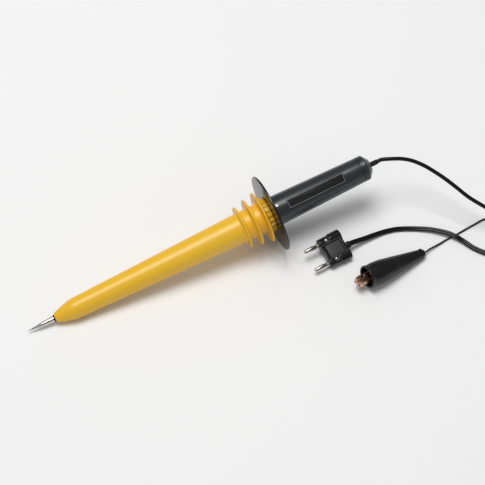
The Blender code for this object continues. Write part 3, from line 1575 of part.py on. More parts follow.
def build_cords(plug, relief_end, clip):
    bpy.context.view_layer.update()
    yoke = build_yoke()
    bpy.context.view_layer.update()
    facing = Vector((math.cos(YOKE_HEADING), math.sin(YOKE_HEADING), 0.0))
    yoke_middle = Vector((*YOKE_PLACE, YOKE_HEIGHT / 2.0))
    yoke_rear = yoke_middle - facing * (YOKE_LENGTH / 2.0 + SEAT)
    across = Vector((-facing.y, facing.x, 0.0))
    yoke_front = yoke_middle + facing * (YOKE_LENGTH / 2.0 + SEAT)
    twin_end = yoke_front + across * YOKE_TWIN_OFFSET
    lead_end = yoke_front - across * YOKE_LEAD_OFFSET

    cable_low = TIE_THICKNESS + SEAT + HANDLE_CABLE / 2.0
    loops = coil_line(
        CABLE_COIL_CENTRE,
        CABLE_COIL_RADIUS,
        HANDLE_CABLE,
        CABLE_COIL_TURNS,
        CABLE_COIL_ENTRY,
        -1.0,
        cable_low,
    )
    cable_coil = coil_with_ends(loops, HANDLE_CABLE, yoke_rear, facing)
    tube("handle_cable_coil", cable_coil, HANDLE_CABLE / 2.0, CORD_BLACK, None, 1)
    coil_in = heading(loops, False)
    cable = route(
        EXIT,
        ALONG,
        HANDLE_CABLE_ROUTE,
        cable_coil[0] - coil_in * SEAT,
        coil_in,
        HANDLE_CABLE,
        HANDLE_CABLE * POINT_SPACING,
    )
    tube("handle_cable", cable, HANDLE_CABLE / 2.0, CORD_BLACK)

    lead_low = TIE_THICKNESS + SEAT + GROUND_LEAD / 2.0
    loops_lead = coil_line(
        LEAD_COIL_CENTRE,
        LEAD_COIL_RADIUS,
        GROUND_LEAD,
        LEAD_COIL_TURNS,
        LEAD_COIL_ENTRY,
        1.0,
        lead_low,
    )
    lead_coil = coil_with_ends(loops_lead, GROUND_LEAD, lead_end, -facing)
    tube("ground_lead_coil", lead_coil, GROUND_LEAD / 2.0, CORD_BLACK, None, 1)
    lead_in = heading(loops_lead, False)
    tail = clip.matrix_world @ Vector((-BOOT_LENGTH - SEAT, 0.0, 0.0))
    tail_way = (clip.matrix_world.to_3x3() @ Vector((-1.0, 0.0, 0.0))).normalized()
    lead = route(
        tail,
        tail_way,
        GROUND_LEAD_ROUTE,
        lead_coil[0] - lead_in * SEAT,
        lead_in,
        GROUND_LEAD,
        GROUND_LEAD * POINT_SPACING,
    )
    tube("ground_lead", lead, GROUND_LEAD / 2.0, CORD_BLACK)

    relief = plug.matrix_world @ Vector((relief_end, RELIEF_OFFSET, 0.0))
    relief_way = (plug.matrix_world.to_3x3() @ Vector((-1.0, 0.0, 0.0))).normalized()
    twin = route(
        relief,
        relief_way,
        PLUG_CABLE_ROUTE,
        twin_end,
        -facing,
        PLUG_CABLE_HEIGHT,
        PLUG_CABLE_HEIGHT * POINT_SPACING,
    )
    build_twin_cable(twin)

    inner = CABLE_COIL_RADIUS - (HANDLE_CABLE + COIL_PLAY) * CABLE_COIL_TURNS / 2.0
    tie(
        "cable_tie",
        CABLE_COIL_CENTRE,
        CABLE_TIE_ANGLE,
        inner,
        CABLE_COIL_RADIUS,
        HANDLE_CABLE,
        cable_low,
        CABLE_TIE_WIDTH,
    )
    inner_lead = LEAD_COIL_RADIUS - (GROUND_LEAD + COIL_PLAY) * LEAD_COIL_TURNS / 2.0
    tie(
        "lead_tie",
        LEAD_COIL_CENTRE,
        LEAD_TIE_ANGLE,
        inner_lead,
        LEAD_COIL_RADIUS,
        GROUND_LEAD,
        lead_low,
        LEAD_TIE_WIDTH,
    )
    for name, line, diameter in (
        ("handle cable coil", cable_coil, HANDLE_CABLE),
        ("ground lead coil", lead_coil, GROUND_LEAD),
    ):
        print(f"{name}: least gap to itself {least_gap(line, diameter) * 1000.0:.2f} mm")
    whole = length_of(cable) + length_of(cable_coil) + YOKE_LENGTH + length_of(twin)
    print(f"handle cable: free {length_of(cable):.3f} m, coil {length_of(cable_coil):.3f} m")
    print(f"plug cable {length_of(twin):.3f} m, output cable as a whole {whole:.3f} m")
    print(f"ground lead: free {length_of(lead):.3f} m, coil {length_of(lead_coil):.3f} m")


def build_twin_cable(points):
    """The flat twin cable; it lies flat except where the rolled plug turns it."""
    section = bpy.data.curves.new("twin_section", "CURVE")
    section.dimensions = "2D"
    outline = oval(PLUG_CABLE_WIDTH, PLUG_CABLE_HEIGHT, TWIN_SIDES)
    ring = section.splines.new("POLY")
    ring.points.add(len(outline) - 1)
    for point, (x, y) in zip(ring.points, outline):
        point.co = (x, y, 0.0, 1.0)
    ring.use_cyclic_u = True
    section_object = bpy.data.objects.new("twin_section", section)
    CUTTERS.objects.link(section_object)
    section_object.hide_render = True
    curve = bpy.data.curves.new("plug_cable", "CURVE")
    curve.dimensions = "3D"
    curve.bevel_mode = "OBJECT"
    curve.bevel_object = section_object
    curve.use_fill_caps = True
    curve.twist_mode = "Z_UP"
    line = curve.splines.new("POLY")
    line.points.add(len(points) - 1)
    for index, (point, where) in enumerate(zip(line.points, points)):
        point.co = (*where, 1.0)
        share = max(0.0, 1.0 - index / TWIN_TURN_POINTS)
        point.tilt = -PLUG_ROLL * share * share * (3.0 - 2.0 * share)
    curve.materials.append(CORD_BLACK)
    made = bpy.data.objects.new("plug_cable", curve)
    PARTS.objects.link(made)
    return made


def main():
    build_tip()
    build_barrel()
    build_collar()
    build_disc()
    build_stub()
    build_divider()
    build_handle()
    gland_face = build_end_cap()
    build_board(gland_face)
    plug = plug_frame()
    build_plug_body(plug)
    build_pin("near", 1.0, plug)
    build_pin("far", -1.0, plug)
    relief_end = build_plug_relief(plug)
    clip = clip_frame()
    build_boot(clip)
    build_fixed_jaw(clip)
    build_moving_jaw(clip)
    build_clip_fittings(clip)
    build_cords(plug, relief_end, clip)


main()
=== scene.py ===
"""A high-voltage test probe with its cables, plug and ground clip, dressed for a picture.

Lengths are in metres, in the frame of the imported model: +X runs from the tip towards the handle, +Z is
up, and the disc, the plug, the clip and the cords lie on the floor at Z = 0.
"""
import logging
import math
from dataclasses import dataclass
from enum import Enum
from typing import Callable, Optional, Sequence, Union

import bmesh
import bpy
from mathutils import Euler, Matrix, Vector


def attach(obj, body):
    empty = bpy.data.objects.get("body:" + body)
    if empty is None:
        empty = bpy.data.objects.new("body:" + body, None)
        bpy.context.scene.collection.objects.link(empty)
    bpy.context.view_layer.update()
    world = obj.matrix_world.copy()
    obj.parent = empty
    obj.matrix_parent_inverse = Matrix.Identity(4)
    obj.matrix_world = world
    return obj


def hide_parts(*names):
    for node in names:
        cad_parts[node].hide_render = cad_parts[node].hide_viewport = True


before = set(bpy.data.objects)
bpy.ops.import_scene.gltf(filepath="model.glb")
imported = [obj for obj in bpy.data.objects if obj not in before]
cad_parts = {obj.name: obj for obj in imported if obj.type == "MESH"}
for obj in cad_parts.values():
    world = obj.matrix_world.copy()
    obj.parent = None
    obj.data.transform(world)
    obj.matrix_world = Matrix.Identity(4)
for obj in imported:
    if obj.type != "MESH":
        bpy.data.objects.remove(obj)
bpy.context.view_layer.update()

LOG = logging.getLogger("probe")
SEAT = 0.0003  # clear space between pieces that touch or are fastened together
POLE = 1e-7  # a smaller radius is a point on the axis
SHARP = math.radians(38.0)  # edges that turn by more stay sharp
SMOOTH = math.radians(60.0)  # the same for round cords and the plate
HERE = Matrix.Identity(4)
UPRIGHT = Matrix.Rotation(-math.pi / 2.0, 4, "Y")  # takes +X to +Z
SIDES = {"near": 1.0, "far": -1.0}  # of the plug
LEAD = 0.0017  # diameter of the ground lead

Corner = tuple[float, float, float]  # two coordinates and how far the corner's rounding reaches
Pair = tuple[float, float]
Colour = tuple[float, float, float]
Value = Union[int, float, str, tuple, bpy.types.ID, "Wire"]
Shape = bmesh.types.BMesh
Piece = bpy.types.Object


class Body(Enum):
    """The moving bodies of the model."""

    ROOT = "root"
    JAW = "clip_jaw"


class Layout(Enum):
    """How copies of a small shape are set out."""

    RING = "ring"
    ROW = "row"


class Pattern(Enum):
    """What a layer is made of: a texture node and the output that is read."""

    NOISE = ("ShaderNodeTexNoise", 0)
    CELLS = ("ShaderNodeTexVoronoi", 0)
    CHECKS = ("ShaderNodeTexChecker", 1)


# ---------------------------------------------------------------- nodes
def arithmetic(operation: str, swapped: bool = False) -> Callable[["Wire", Value], "Wire"]:
    """Return a method that runs a Math node on a wire and another value.

    Args:
        operation: the node's operation.
        swapped: whether the other value comes first.

    Returns:
        The method.
    """

    def method(self: "Wire", other: Value) -> "Wire":
        """Return the result of the Math node."""
        first, second = (other, self) if swapped else (self, other)
        return self.graph.node("ShaderNodeMath", {"operation": operation}, {0: first, 1: second})

    return method


class Wire:
    """One output socket, on which arithmetic can be written."""

    __add__ = arithmetic("ADD")
    __radd__ = arithmetic("ADD", True)
    __sub__ = arithmetic("SUBTRACT")
    __rsub__ = arithmetic("SUBTRACT", True)
    __mul__ = arithmetic("MULTIPLY")
    __rmul__ = arithmetic("MULTIPLY", True)
    __truediv__ = arithmetic("DIVIDE")
    least = arithmetic("MINIMUM")
    greatest = arithmetic("MAXIMUM")
    below = arithmetic("LESS_THAN")

    def __init__(self, graph: "Graph", socket: bpy.types.NodeSocket) -> None:
        """Wrap a socket of a graph."""
        self.graph = graph
        self.socket = socket

    def step(self, low: float, high: float) -> "Wire":
        """Return a value that rises smoothly from 0 at low to 1 at high."""
        inputs = {"Value": self, "From Min": low, "From Max": high}
        return self.graph.node("ShaderNodeMapRange", {"interpolation_type": "SMOOTHSTEP"}, inputs)


class Graph:
    """A node tree to which nodes are added by type, settings and inputs."""

    def __init__(self, tree: bpy.types.NodeTree) -> None:
        """Wrap a node tree."""
        self.tree = tree

    def node(
        self,
        kind: str,
        settings: Optional[dict] = None,
        inputs: Optional[dict] = None,
        output: Union[int, str] = 0,
    ) -> Wire:
        """Add one node.

        Args:
            kind: the node's type.
            settings: the node's own properties, set before anything is linked.
            inputs: values or wires, by socket name or number.
            output: the socket to return, by name or number.

        Returns:
            The wire of that output, or of the node's first one.
        """
        made = self.tree.nodes.new(kind)
        for name, value in (settings or {}).items():
            setattr(made, name, value)
        for key, value in (inputs or {}).items():
            if isinstance(value, Wire):
                self.tree.links.new(value.socket, made.inputs[key])
            else:
                made.inputs[key].default_value = value
        return Wire(self, made.outputs[output])

    def mix(self, first: Value, second: Value, share: Value) -> Wire:
        """Mix two colours.

        Args:
            first: the colour at share 0.
            second: the colour at share 1.
            share: how much of the second colour shows.

        Returns:
            The mixed colour.
        """
        colours = {
            key: (*value, 1.0) if isinstance(value, tuple) else value
            for key, value in {6: first, 7: second}.items()
        }
        return self.node("ShaderNodeMix", {"data_type": "RGBA"}, {0: share, **colours}, 2)

    def noise(self, place: Wire, scale: float, detail: float = 2.0) -> Wire:
        """Return noise from 0 to 1 with so many spots to the metre."""
        return self.node("ShaderNodeTexNoise", {}, {"Vector": place, "Scale": scale, "Detail": detail})


# ---------------------------------------------------------------- finishes
@dataclass(frozen=True)
class Layer:
    """A pattern that shifts a finish's colour, roughness or height where it is strong."""

    scale: float = 1.0
    detail: float = 2.0
    pattern: Pattern = Pattern.NOISE
    stretch: Optional[tuple] = None  # factors for the coordinates
    inverted: bool = False
    limits: Optional[Pair] = None  # where the strength leaves 0 and where it reaches 1
    colour: Optional[Colour] = None
    share: float = 1.0  # of that colour at full strength
    roughness: float = 0.0
    height: float = 0.0

    def strength(self, graph: Graph, place: Wire) -> Wire:
        """Return how strong the layer is at a place.

        Args:
            graph: the material's nodes.
            place: object coordinates.

        Returns:
            The strength, from 0 to about 1.
        """
        if self.stretch is not None:
            place = graph.node("ShaderNodeMapping", {}, {"Vector": place, "Scale": self.stretch})
        inputs = {"Vector": place, "Scale": self.scale}
        if self.pattern is Pattern.NOISE:
            inputs["Detail"] = self.detail
        kind, output = self.pattern.value
        made = graph.node(kind, {}, inputs, output)
        if self.inverted:
            made = 1.0 - made
        return made.step(*self.limits) if self.limits else made


@dataclass(frozen=True)
class Finish:
    """A finish with slightly uneven colour, gloss and surface."""

    name: str
    slot: str
    colour: Colour
    roughness: float
    metallic: float = 0.0
    coat: float = 0.0
    coat_roughness: float = 0.1
    specular: float = 0.5
    mottle: float = 0.05  # share by which the colour goes up and down
    mottle_scale: float = 90.0
    smudge: float = 0.05  # by how much the roughness goes up and down
    smudge_scale: float = 140.0
    grain: float = 0.000003  # height of the surface grain
    grain_scale: float = 2600.0

    def layers(self) -> tuple[Layer, ...]:
        """Return what lies over the uneven base."""
        return ()

    def shade(self, share: float) -> Colour:
        """Return the finish's colour, darker or lighter by a factor."""
        return tuple(min(1.0, c * share) for c in self.colour)

    def surface(self, graph: Graph, place: Wire) -> tuple[Wire, Wire, Wire]:
        """Work out what changes over the surface.

        Args:
            graph: the material's nodes.
            place: object coordinates.

        Returns:
            Colour, roughness and height in metres.
        """
        tone = graph.noise(place, self.mottle_scale, 3.0)
        colour = graph.mix(self.shade(1.0 - self.mottle), self.shade(1.0 + self.mottle), tone)
        gloss = self.roughness + (graph.noise(place, self.smudge_scale, 4.0) - 0.5) * (2.0 * self.smudge)
        height = graph.noise(place, self.grain_scale) * self.grain
        for layer in self.layers():
            strength = layer.strength(graph, place)
            if layer.colour:
                colour = graph.mix(colour, layer.colour, strength * layer.share)
            if layer.roughness:
                gloss = gloss + strength * layer.roughness
            if layer.height:
                height = height + strength * layer.height
        return colour, gloss, height

    def material(self) -> bpy.types.Material:
        """Return the finish as a material, which is made once.

        Returns:
            The material.
        """
        found = bpy.data.materials.get(self.name)
        if found is not None:
            return found
        made = bpy.data.materials.new(self.name)
        made.use_nodes = True
        graph = Graph(made.node_tree)
        place = graph.node("ShaderNodeTexCoord", output="Object")
        colour, roughness, height = self.surface(graph, place)
        bump = graph.node("ShaderNodeBump", {}, {"Strength": 1.0, "Distance": 1.0, "Height": height})
        inputs = made.node_tree.nodes["Principled BSDF"].inputs
        for name, wire in (("Base Color", colour), ("Roughness", roughness), ("Normal", bump)):
            made.node_tree.links.new(wire.socket, inputs[name])
        inputs["Metallic"].default_value = self.metallic
        inputs["Coat Weight"].default_value = self.coat
        inputs["Coat Roughness"].default_value = self.coat_roughness
        inputs["Specular IOR Level"].default_value = self.specular
        return made


@dataclass(frozen=True)
class MouldedPlastic(Finish):
    """Injection-moulded plastic: faint flow marks along the part, and rubbed, smoother spots."""

    flow: float = 0.16  # share of the darker colour in the flow marks

    def layers(self) -> tuple[Layer, ...]:
        """Return the flow marks and the rubbed spots.

        Returns:
            The layers, in the order in which they are laid.
        """
        marks = Layer(
            detail=3.0, stretch=(14.0, 160.0, 160.0), limits=(0.45, 0.9), colour=self.shade(0.6),
            share=self.flow,
        )
        return marks, Layer(45.0, limits=(0.55, 0.75), roughness=-0.05)


@dataclass(frozen=True)
class PlatedMetal(Finish):
    """Bright plating over turned or pressed metal, with fine drawn lines and small dull spots."""

    tarnish: Colour = (0.42, 0.38, 0.31)
    tarnish_share: float = 0.25
    spot_scale: float = 900.0
    spot_limits: Pair = (0.56, 0.80)

    def layers(self) -> tuple[Layer, ...]:
        """Return the tarnished spots and the drawn lines.

        Returns:
            The layers, in the order in which they are laid.
        """
        spots = Layer(
            self.spot_scale, 4.0, limits=self.spot_limits, colour=self.tarnish, share=self.tarnish_share,
            roughness=0.12,
        )
        return spots, Layer(stretch=(260.0, 3800.0, 3800.0), height=0.0000012)


@dataclass(frozen=True)
class SoftVinyl(Finish):
    """Flexible vinyl: a dull bloom in cloudy patches, over a fine leathery grain."""

    bloom: Colour = (0.06, 0.06, 0.065)
    bloom_share: float = 0.30

    def layers(self) -> tuple[Layer, ...]:
        """Return the bloom and the cell-like grain.

        Returns:
            The layers, in the order in which they are laid.
        """
        cloud = Layer(
            70.0, 5.0, limits=(0.45, 0.80), colour=self.bloom, share=self.bloom_share, roughness=0.10
        )
        return cloud, Layer(self.grain_scale * 0.4, pattern=Pattern.CELLS, height=self.grain * 0.5)


@dataclass(frozen=True)
class PolishedPlastic(Finish):
    """Polished sheet: nearly flat, with a slow ripple, fine scratches and a little dust."""

    dust: Colour = (0.30, 0.29, 0.28)

    def layers(self) -> tuple[Layer, ...]:
        """Return the dust, the scratches and the ripple.

        Returns:
            The layers, in the order in which they are laid.
        """
        return (
            Layer(2400.0, limits=(0.70, 0.78), colour=self.dust, share=0.35),
            Layer(stretch=(900.0, 3000.0, 260.0), limits=(0.6, 0.8), roughness=0.10),
            Layer(120.0, 1.0, height=0.00004),
        )


@dataclass(frozen=True)
class Pebbled(Finish):
    """A panel with a coarse moulded texture, whose tops are lighter where they are rubbed."""

    pebble_scale: float = 1500.0
    worn: Colour = (0.17, 0.17, 0.18)

    def layers(self) -> tuple[Layer, ...]:
        """Return the rubbed tops and the pebbles."""
        tops = {"scale": self.pebble_scale, "pattern": Pattern.CELLS, "inverted": True}
        return Layer(**tops, limits=(0.55, 0.95), colour=self.worn, share=0.6), Layer(**tops, height=0.00006)


@dataclass(frozen=True)
class Laminate(Finish):
    """Glass-filled board: a fine crossed weave under a coloured lacquer."""

    def layers(self) -> tuple[Layer, ...]:
        """Return the weave."""
        return (Layer(1600.0, pattern=Pattern.CHECKS, colour=self.shade(0.7), share=0.5),)


@dataclass(frozen=True)
class BarePlate(Finish):
    """A blank plate with a thin pale line near its edge, drawn from its own UV map in metres: a printed
    frame, and painted highlight along the plate's edge.
    """

    length: float = 0.057
    width: float = 0.0086
    inset: float = 0.00035
    line: float = 0.00022
    print_and_highlight_colour: Colour = (0.45, 0.45, 0.44)

    def surface(self, graph: Graph, place: Wire) -> tuple[Wire, Wire, Wire]:
        """Return colour, roughness and height, with the outline, which is print and painted highlight.

        Args:
            graph: the material's nodes.
            place: object coordinates.

        Returns:
            Colour, roughness and height in metres.
        """
        colour, gloss, height = super().surface(graph, place)
        plan = graph.node("ShaderNodeTexCoord", output="UV")
        along = graph.node("ShaderNodeSeparateXYZ", {}, {0: plan})
        across = Wire(graph, along.socket.node.outputs[1])
        edge = along.least(self.length - along).least(across.least(self.width - across))
        # the pale frame line near the edge is print, and also painted highlight along the plate's edge
        print_and_highlight_mask = edge.below(self.inset + self.line) * (1.0 - edge.below(self.inset))
        return graph.mix(colour, self.print_and_highlight_colour, print_and_highlight_mask), gloss, height


class Finishes:
    """The finishes of the probe's pieces."""

    YELLOW = MouldedPlastic(
        "moulded_yellow", "yellow_plastic", (0.86, 0.500, 0.024), 0.34, mottle=0.03, grain=0.000002, flow=0.08
    )
    DISC = PolishedPlastic("polished_black", "disc_black", (0.008, 0.008, 0.009), 0.22)
    HANDLE = MouldedPlastic(
        "moulded_grey", "handle_grey", (0.025, 0.030, 0.034), 0.30, specular=0.6, mottle=0.10, grain=0.000004
    )
    LABEL = BarePlate("bare_plate", "label_black", (0.008, 0.008, 0.009), 0.34)
    PLUG = MouldedPlastic(
        "moulded_black", "plug_black", (0.009, 0.009, 0.0095), 0.20, mottle=0.12, specular=0.6
    )
    # pebbled grey of the panel; on the plug's ridges and screw rings the same lighter grey is painted
    # highlight
    COVER_AND_HIGHLIGHT = Pebbled(
        "pebbled_grey", "cover_grey", (0.042, 0.042, 0.045), 0.36, mottle=0.55, mottle_scale=520.0
    )
    NICKEL = PlatedMetal("bright_nickel", "nickel", (0.70, 0.68, 0.63), 0.24, 1.0)
    # painted shade: near-black plating on the nose bushing's flange, for the shaded recess between tip and
    # nose, and on the pins' waists, for the shade in their cage slots
    SHADE_BLACK = PlatedMetal(
        "blackened_brass", "black_metal", (0.030, 0.027, 0.024), 0.42, 1.0, tarnish=(0.14, 0.10, 0.06)
    )
    COPPER = PlatedMetal(
        "copper_plate", "copper", (0.76, 0.47, 0.33), 0.25, 1.0, tarnish=(0.10, 0.045, 0.025),
        tarnish_share=0.85, spot_scale=420.0, spot_limits=(0.48, 0.60),
    )
    STEEL = PlatedMetal("spring_steel", "steel", (0.56, 0.56, 0.56), 0.26, 1.0)
    BRASS = PlatedMetal("turned_brass", "brass", (0.74, 0.55, 0.26), 0.26, 1.0, tarnish=(0.35, 0.22, 0.08))
    CERAMIC = Finish("glazed_green", "resistor_green", (0.10, 0.25, 0.16), 0.32, coat=0.4, mottle=0.10)
    WHITE = Finish("natural_nylon", "insulator_white", (0.72, 0.71, 0.66), 0.46)
    BOARD = Laminate("green_laminate", "board_green", (0.03, 0.20, 0.08), 0.36, coat=0.3)
    BLUE = MouldedPlastic("moulded_blue", "trimmer_blue", (0.04, 0.16, 0.45), 0.36)
    BOOT = SoftVinyl(
        "dull_black", "boot_vinyl", (0.010, 0.010, 0.0105), 0.27, bloom_share=0.08, specular=0.36
    )
    CORD = SoftVinyl(
        "flexible_black", "cord_vinyl", (0.005, 0.005, 0.0055), 0.14, specular=0.38, grain=0.000001,
        bloom_share=0.05, smudge=0.03,
    )
    RED = SoftVinyl("red_insulation", "wire_red", (0.45, 0.03, 0.03), 0.40, bloom=(0.50, 0.10, 0.09))


# ---------------------------------------------------------------- shapes
def rounded(corners: Sequence[Corner], closed: bool = False, steps: int = 6) -> list[Pair]:
    """Round the corners of an outline.

    Args:
        corners: the outline's corners, each with how far its rounding reaches.
        closed: whether the last corner leads on to the first.
        steps: pieces to a rounding.

    Returns:
        The rounded outline.
    """
    made: list[Pair] = []
    for index, (x, y, trim) in enumerate(corners):
        is_end = not closed and index in (0, len(corners) - 1)
        if trim == 0.0 or is_end:
            made.append((x, y))
            continue
        here = Vector((x, y))
        back = Vector(corners[index - 1][:2]) - here
        ahead = Vector(corners[(index + 1) % len(corners)][:2]) - here
        reach = min(trim, 0.49 * back.length, 0.49 * ahead.length)
        start, end = here + back.normalized() * reach, here + ahead.normalized() * reach
        for step in range(steps + 1):
            t = step / steps
            point = start * (1.0 - t) ** 2 + here * (2.0 * t * (1.0 - t)) + end * t ** 2
            made.append((point.x, point.y))
    return made


def rectangle(half_x: float, half_y: float, trim: float) -> list[Corner]:
    """Return the corners of a rectangle about the origin, all rounded alike."""
    return [(sx * half_x, sy * half_y, trim) for sx, sy in ((-1, -1), (1, -1), (1, 1), (-1, 1))]


def rod(low: float, high: float, radius: float) -> list[Pair]:
    """Return the profile of a plain cylinder."""
    return [(low, 0.0), (low, radius), (high, radius), (high, 0.0)]


def circle(radius: float, sides: int) -> list[Pair]:
    """Return a circle's points."""
    turns = [2.0 * math.pi * i / sides for i in range(sides)]
    return [(radius * math.cos(t), radius * math.sin(t)) for t in turns]


def lathe(profile: Sequence[Pair], place: Matrix, sides: int, hollow: bool = False) -> Shape:
    """Turn a profile about the X axis.

    Args:
        profile: distances along the axis and radii; a solid starts and ends on the axis.
        place: where the turned shape goes.
        sides: how many sides it has.
        hollow: whether the profile is a ring that leads back to its start.

    Returns:
        The closed shape.
    """
    shape = bmesh.new()
    spokes = circle(1.0, sides)
    rings = []
    for x, r in profile:
        if r < POLE:
            rings.append([shape.verts.new(place @ Vector((x, 0.0, 0.0)))])
        else:
            rings.append([shape.verts.new(place @ Vector((x, r * c, r * s))) for c, s in spokes])
    ahead = rings[1:] + rings[:1] if hollow else rings[1:]
    for first, second in zip(rings, ahead):
        for i in range(sides):
            j = (i + 1) % sides
            low = [first[i], first[j]] if len(first) > 1 else first
            high = [second[j], second[i]] if len(second) > 1 else second
            if len(low) + len(high) > 2:
                shape.faces.new([*low, *high])
    bmesh.ops.recalc_face_normals(shape, faces=shape.faces)
    return shape


def prism(outline: Sequence[Pair], low: float, high: float, place: Matrix, edge: float = 0.0) -> Shape:
    """Extrude an outline along Z.

    Args:
        outline: the outline's points.
        low: height of the lower face.
        high: height of the upper face.
        place: where the shape goes.
        edge: width of the bevel round both faces.

    Returns:
        The closed shape, whose UV map holds its own x and y.
    """
    shape = bmesh.new()
    levels = [[shape.verts.new((x, y, z)) for x, y in outline] for z in (low, high)]
    caps = [shape.faces.new(level) for level in levels]
    for i in range(len(outline)):
        j = (i + 1) % len(outline)
        shape.faces.new([levels[0][i], levels[0][j], levels[1][j], levels[1][i]])
    bmesh.ops.recalc_face_normals(shape, faces=shape.faces)
    if edge > 0.0:
        rims = list({e for cap in caps for e in cap.edges})
        bmesh.ops.bevel(shape, geom=rims, offset=edge, segments=3, profile=0.5, affect="EDGES")
    layer = shape.loops.layers.uv.new("plan")
    for face in shape.faces:
        for loop in face.loops:
            loop[layer].uv = loop.vert.co.xy
    shape.transform(place)
    return shape


def block(low: Sequence[float], high: Sequence[float], place: Matrix, edge: float = 0.0) -> Shape:
    """Make a box between two corners, with bevelled edges if edge isn't 0.

    Args:
        low: the corner with the lowest coordinates.
        high: the opposite corner.
        place: where the box goes.
        edge: width of the bevel round its edges.

    Returns:
        The closed shape.
    """
    shape = bmesh.new()
    bmesh.ops.create_cube(shape, size=1.0)
    for vert in shape.verts:
        vert.co = Vector([a if c < 0.0 else b for c, a, b in zip(vert.co, low, high)])
    if edge > 0.0:
        bmesh.ops.bevel(shape, geom=shape.edges[:], offset=edge, segments=4, profile=0.5, affect="EDGES")
    shape.transform(place)
    return shape


def at(x: float, y: float, z: float) -> Matrix:
    """Return a move."""
    return Matrix.Translation((x, y, z))


def turn(x: float, y: float, z: float) -> Matrix:
    """Return a turn about X, then Y, then Z."""
    return Euler((x, y, z)).to_matrix().to_4x4()


def show(name: str, data: bpy.types.ID) -> Piece:
    """Put some data in the scene as a new object.

    Args:
        name: the object's name.
        data: its mesh, camera or lamp.

    Returns:
        The object.
    """
    made = bpy.data.objects.new(name, data)
    bpy.context.scene.collection.objects.link(made)
    return made


def as_piece(name: str, shape: Shape, angle: float = SHARP) -> Piece:
    """Make a smooth-shaded object at the origin from a shape, which is freed.

    Args:
        name: the piece's name.
        shape: its shape in the model's frame.
        angle: edges that turn by more than this stay sharp.

    Returns:
        The object.
    """
    mesh = bpy.data.meshes.new(name)
    shape.to_mesh(mesh)
    shape.free()
    mesh.shade_smooth()
    mesh.set_sharp_from_angle(angle=angle)
    return show(name, mesh)


def turned(
    name: str, corners: Sequence[Corner], place: Matrix, sides: int, hollow: bool = False, steps: int = 6
) -> Piece:
    """Make a piece by turning an outline with rounded corners about the X axis."""
    return as_piece(name, lathe(rounded(corners, hollow, steps), place, sides, hollow))


def settle(piece: Piece, angle: float = SHARP) -> Piece:
    """Apply a piece's modifiers to its mesh and remove them.

    Args:
        piece: the piece with its modifiers.
        angle: edges that turn by more than this stay sharp.

    Returns:
        The same piece.
    """
    seen = piece.evaluated_get(bpy.context.evaluated_depsgraph_get())
    mesh = bpy.data.meshes.new_from_object(seen)
    piece.modifiers.clear()
    piece.data = mesh
    mesh.shade_smooth()
    mesh.set_sharp_from_angle(angle=angle)
    return piece


def combine(piece: Piece, tools: Sequence[Shape], operation: str) -> Piece:
    """Cut shapes out of a piece, or join them to it.

    Args:
        piece: the piece.
        tools: the shapes, which are freed.
        operation: DIFFERENCE or UNION.

    Returns:
        The same piece.
    """
    cutters = [as_piece(f"{piece.name}_tool", tool) for tool in tools]
    for cutter in cutters:
        step = piece.modifiers.new("step", "BOOLEAN")
        step.operation = operation
        step.object = cutter
    settle(piece)
    for cutter in cutters:
        bpy.data.objects.remove(cutter)
    return piece


def merged_copy(name: str, node: str, edge: float) -> Piece:
    """Copy a model's solid as one merged mesh with softly bevelled edges.

    Args:
        name: the copy's name.
        node: the solid's node.
        edge: width of the bevel.

    Returns:
        The copy.
    """
    shape = bmesh.new()
    shape.from_mesh(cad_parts[node].data)
    bmesh.ops.remove_doubles(shape, verts=shape.verts, dist=0.000001)
    bmesh.ops.dissolve_limit(shape, angle_limit=math.radians(1.0), verts=shape.verts, edges=shape.edges)
    piece = as_piece(name, shape)
    piece.data.materials.clear()
    bevel = piece.modifiers.new("soft_edges", "BEVEL")
    bevel.width = edge
    bevel.segments = 2
    bevel.limit_method = "ANGLE"
    bevel.angle_limit = math.radians(40.0)
    bevel.use_clamp_overlap = True
    return settle(piece)


def dress(piece: Piece, finish: Finish, *nodes: str, body: Body = Body.ROOT) -> Piece:
    """Give a piece its finish and its body, and hide the nodes that it stands for.

    Args:
        piece: the finished piece.
        finish: its finish.
        nodes: the model's nodes that it replaces.
        body: the body that it moves with.

    Returns:
        The same piece.
    """
    piece.data.materials.clear()
    piece.data.materials.append(finish.material())
    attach(piece, body.value)
    if nodes:
        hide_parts(*nodes)
    LOG.info("%s: %d faces, %s", piece.name, len(piece.data.polygons), finish.name)
    return piece


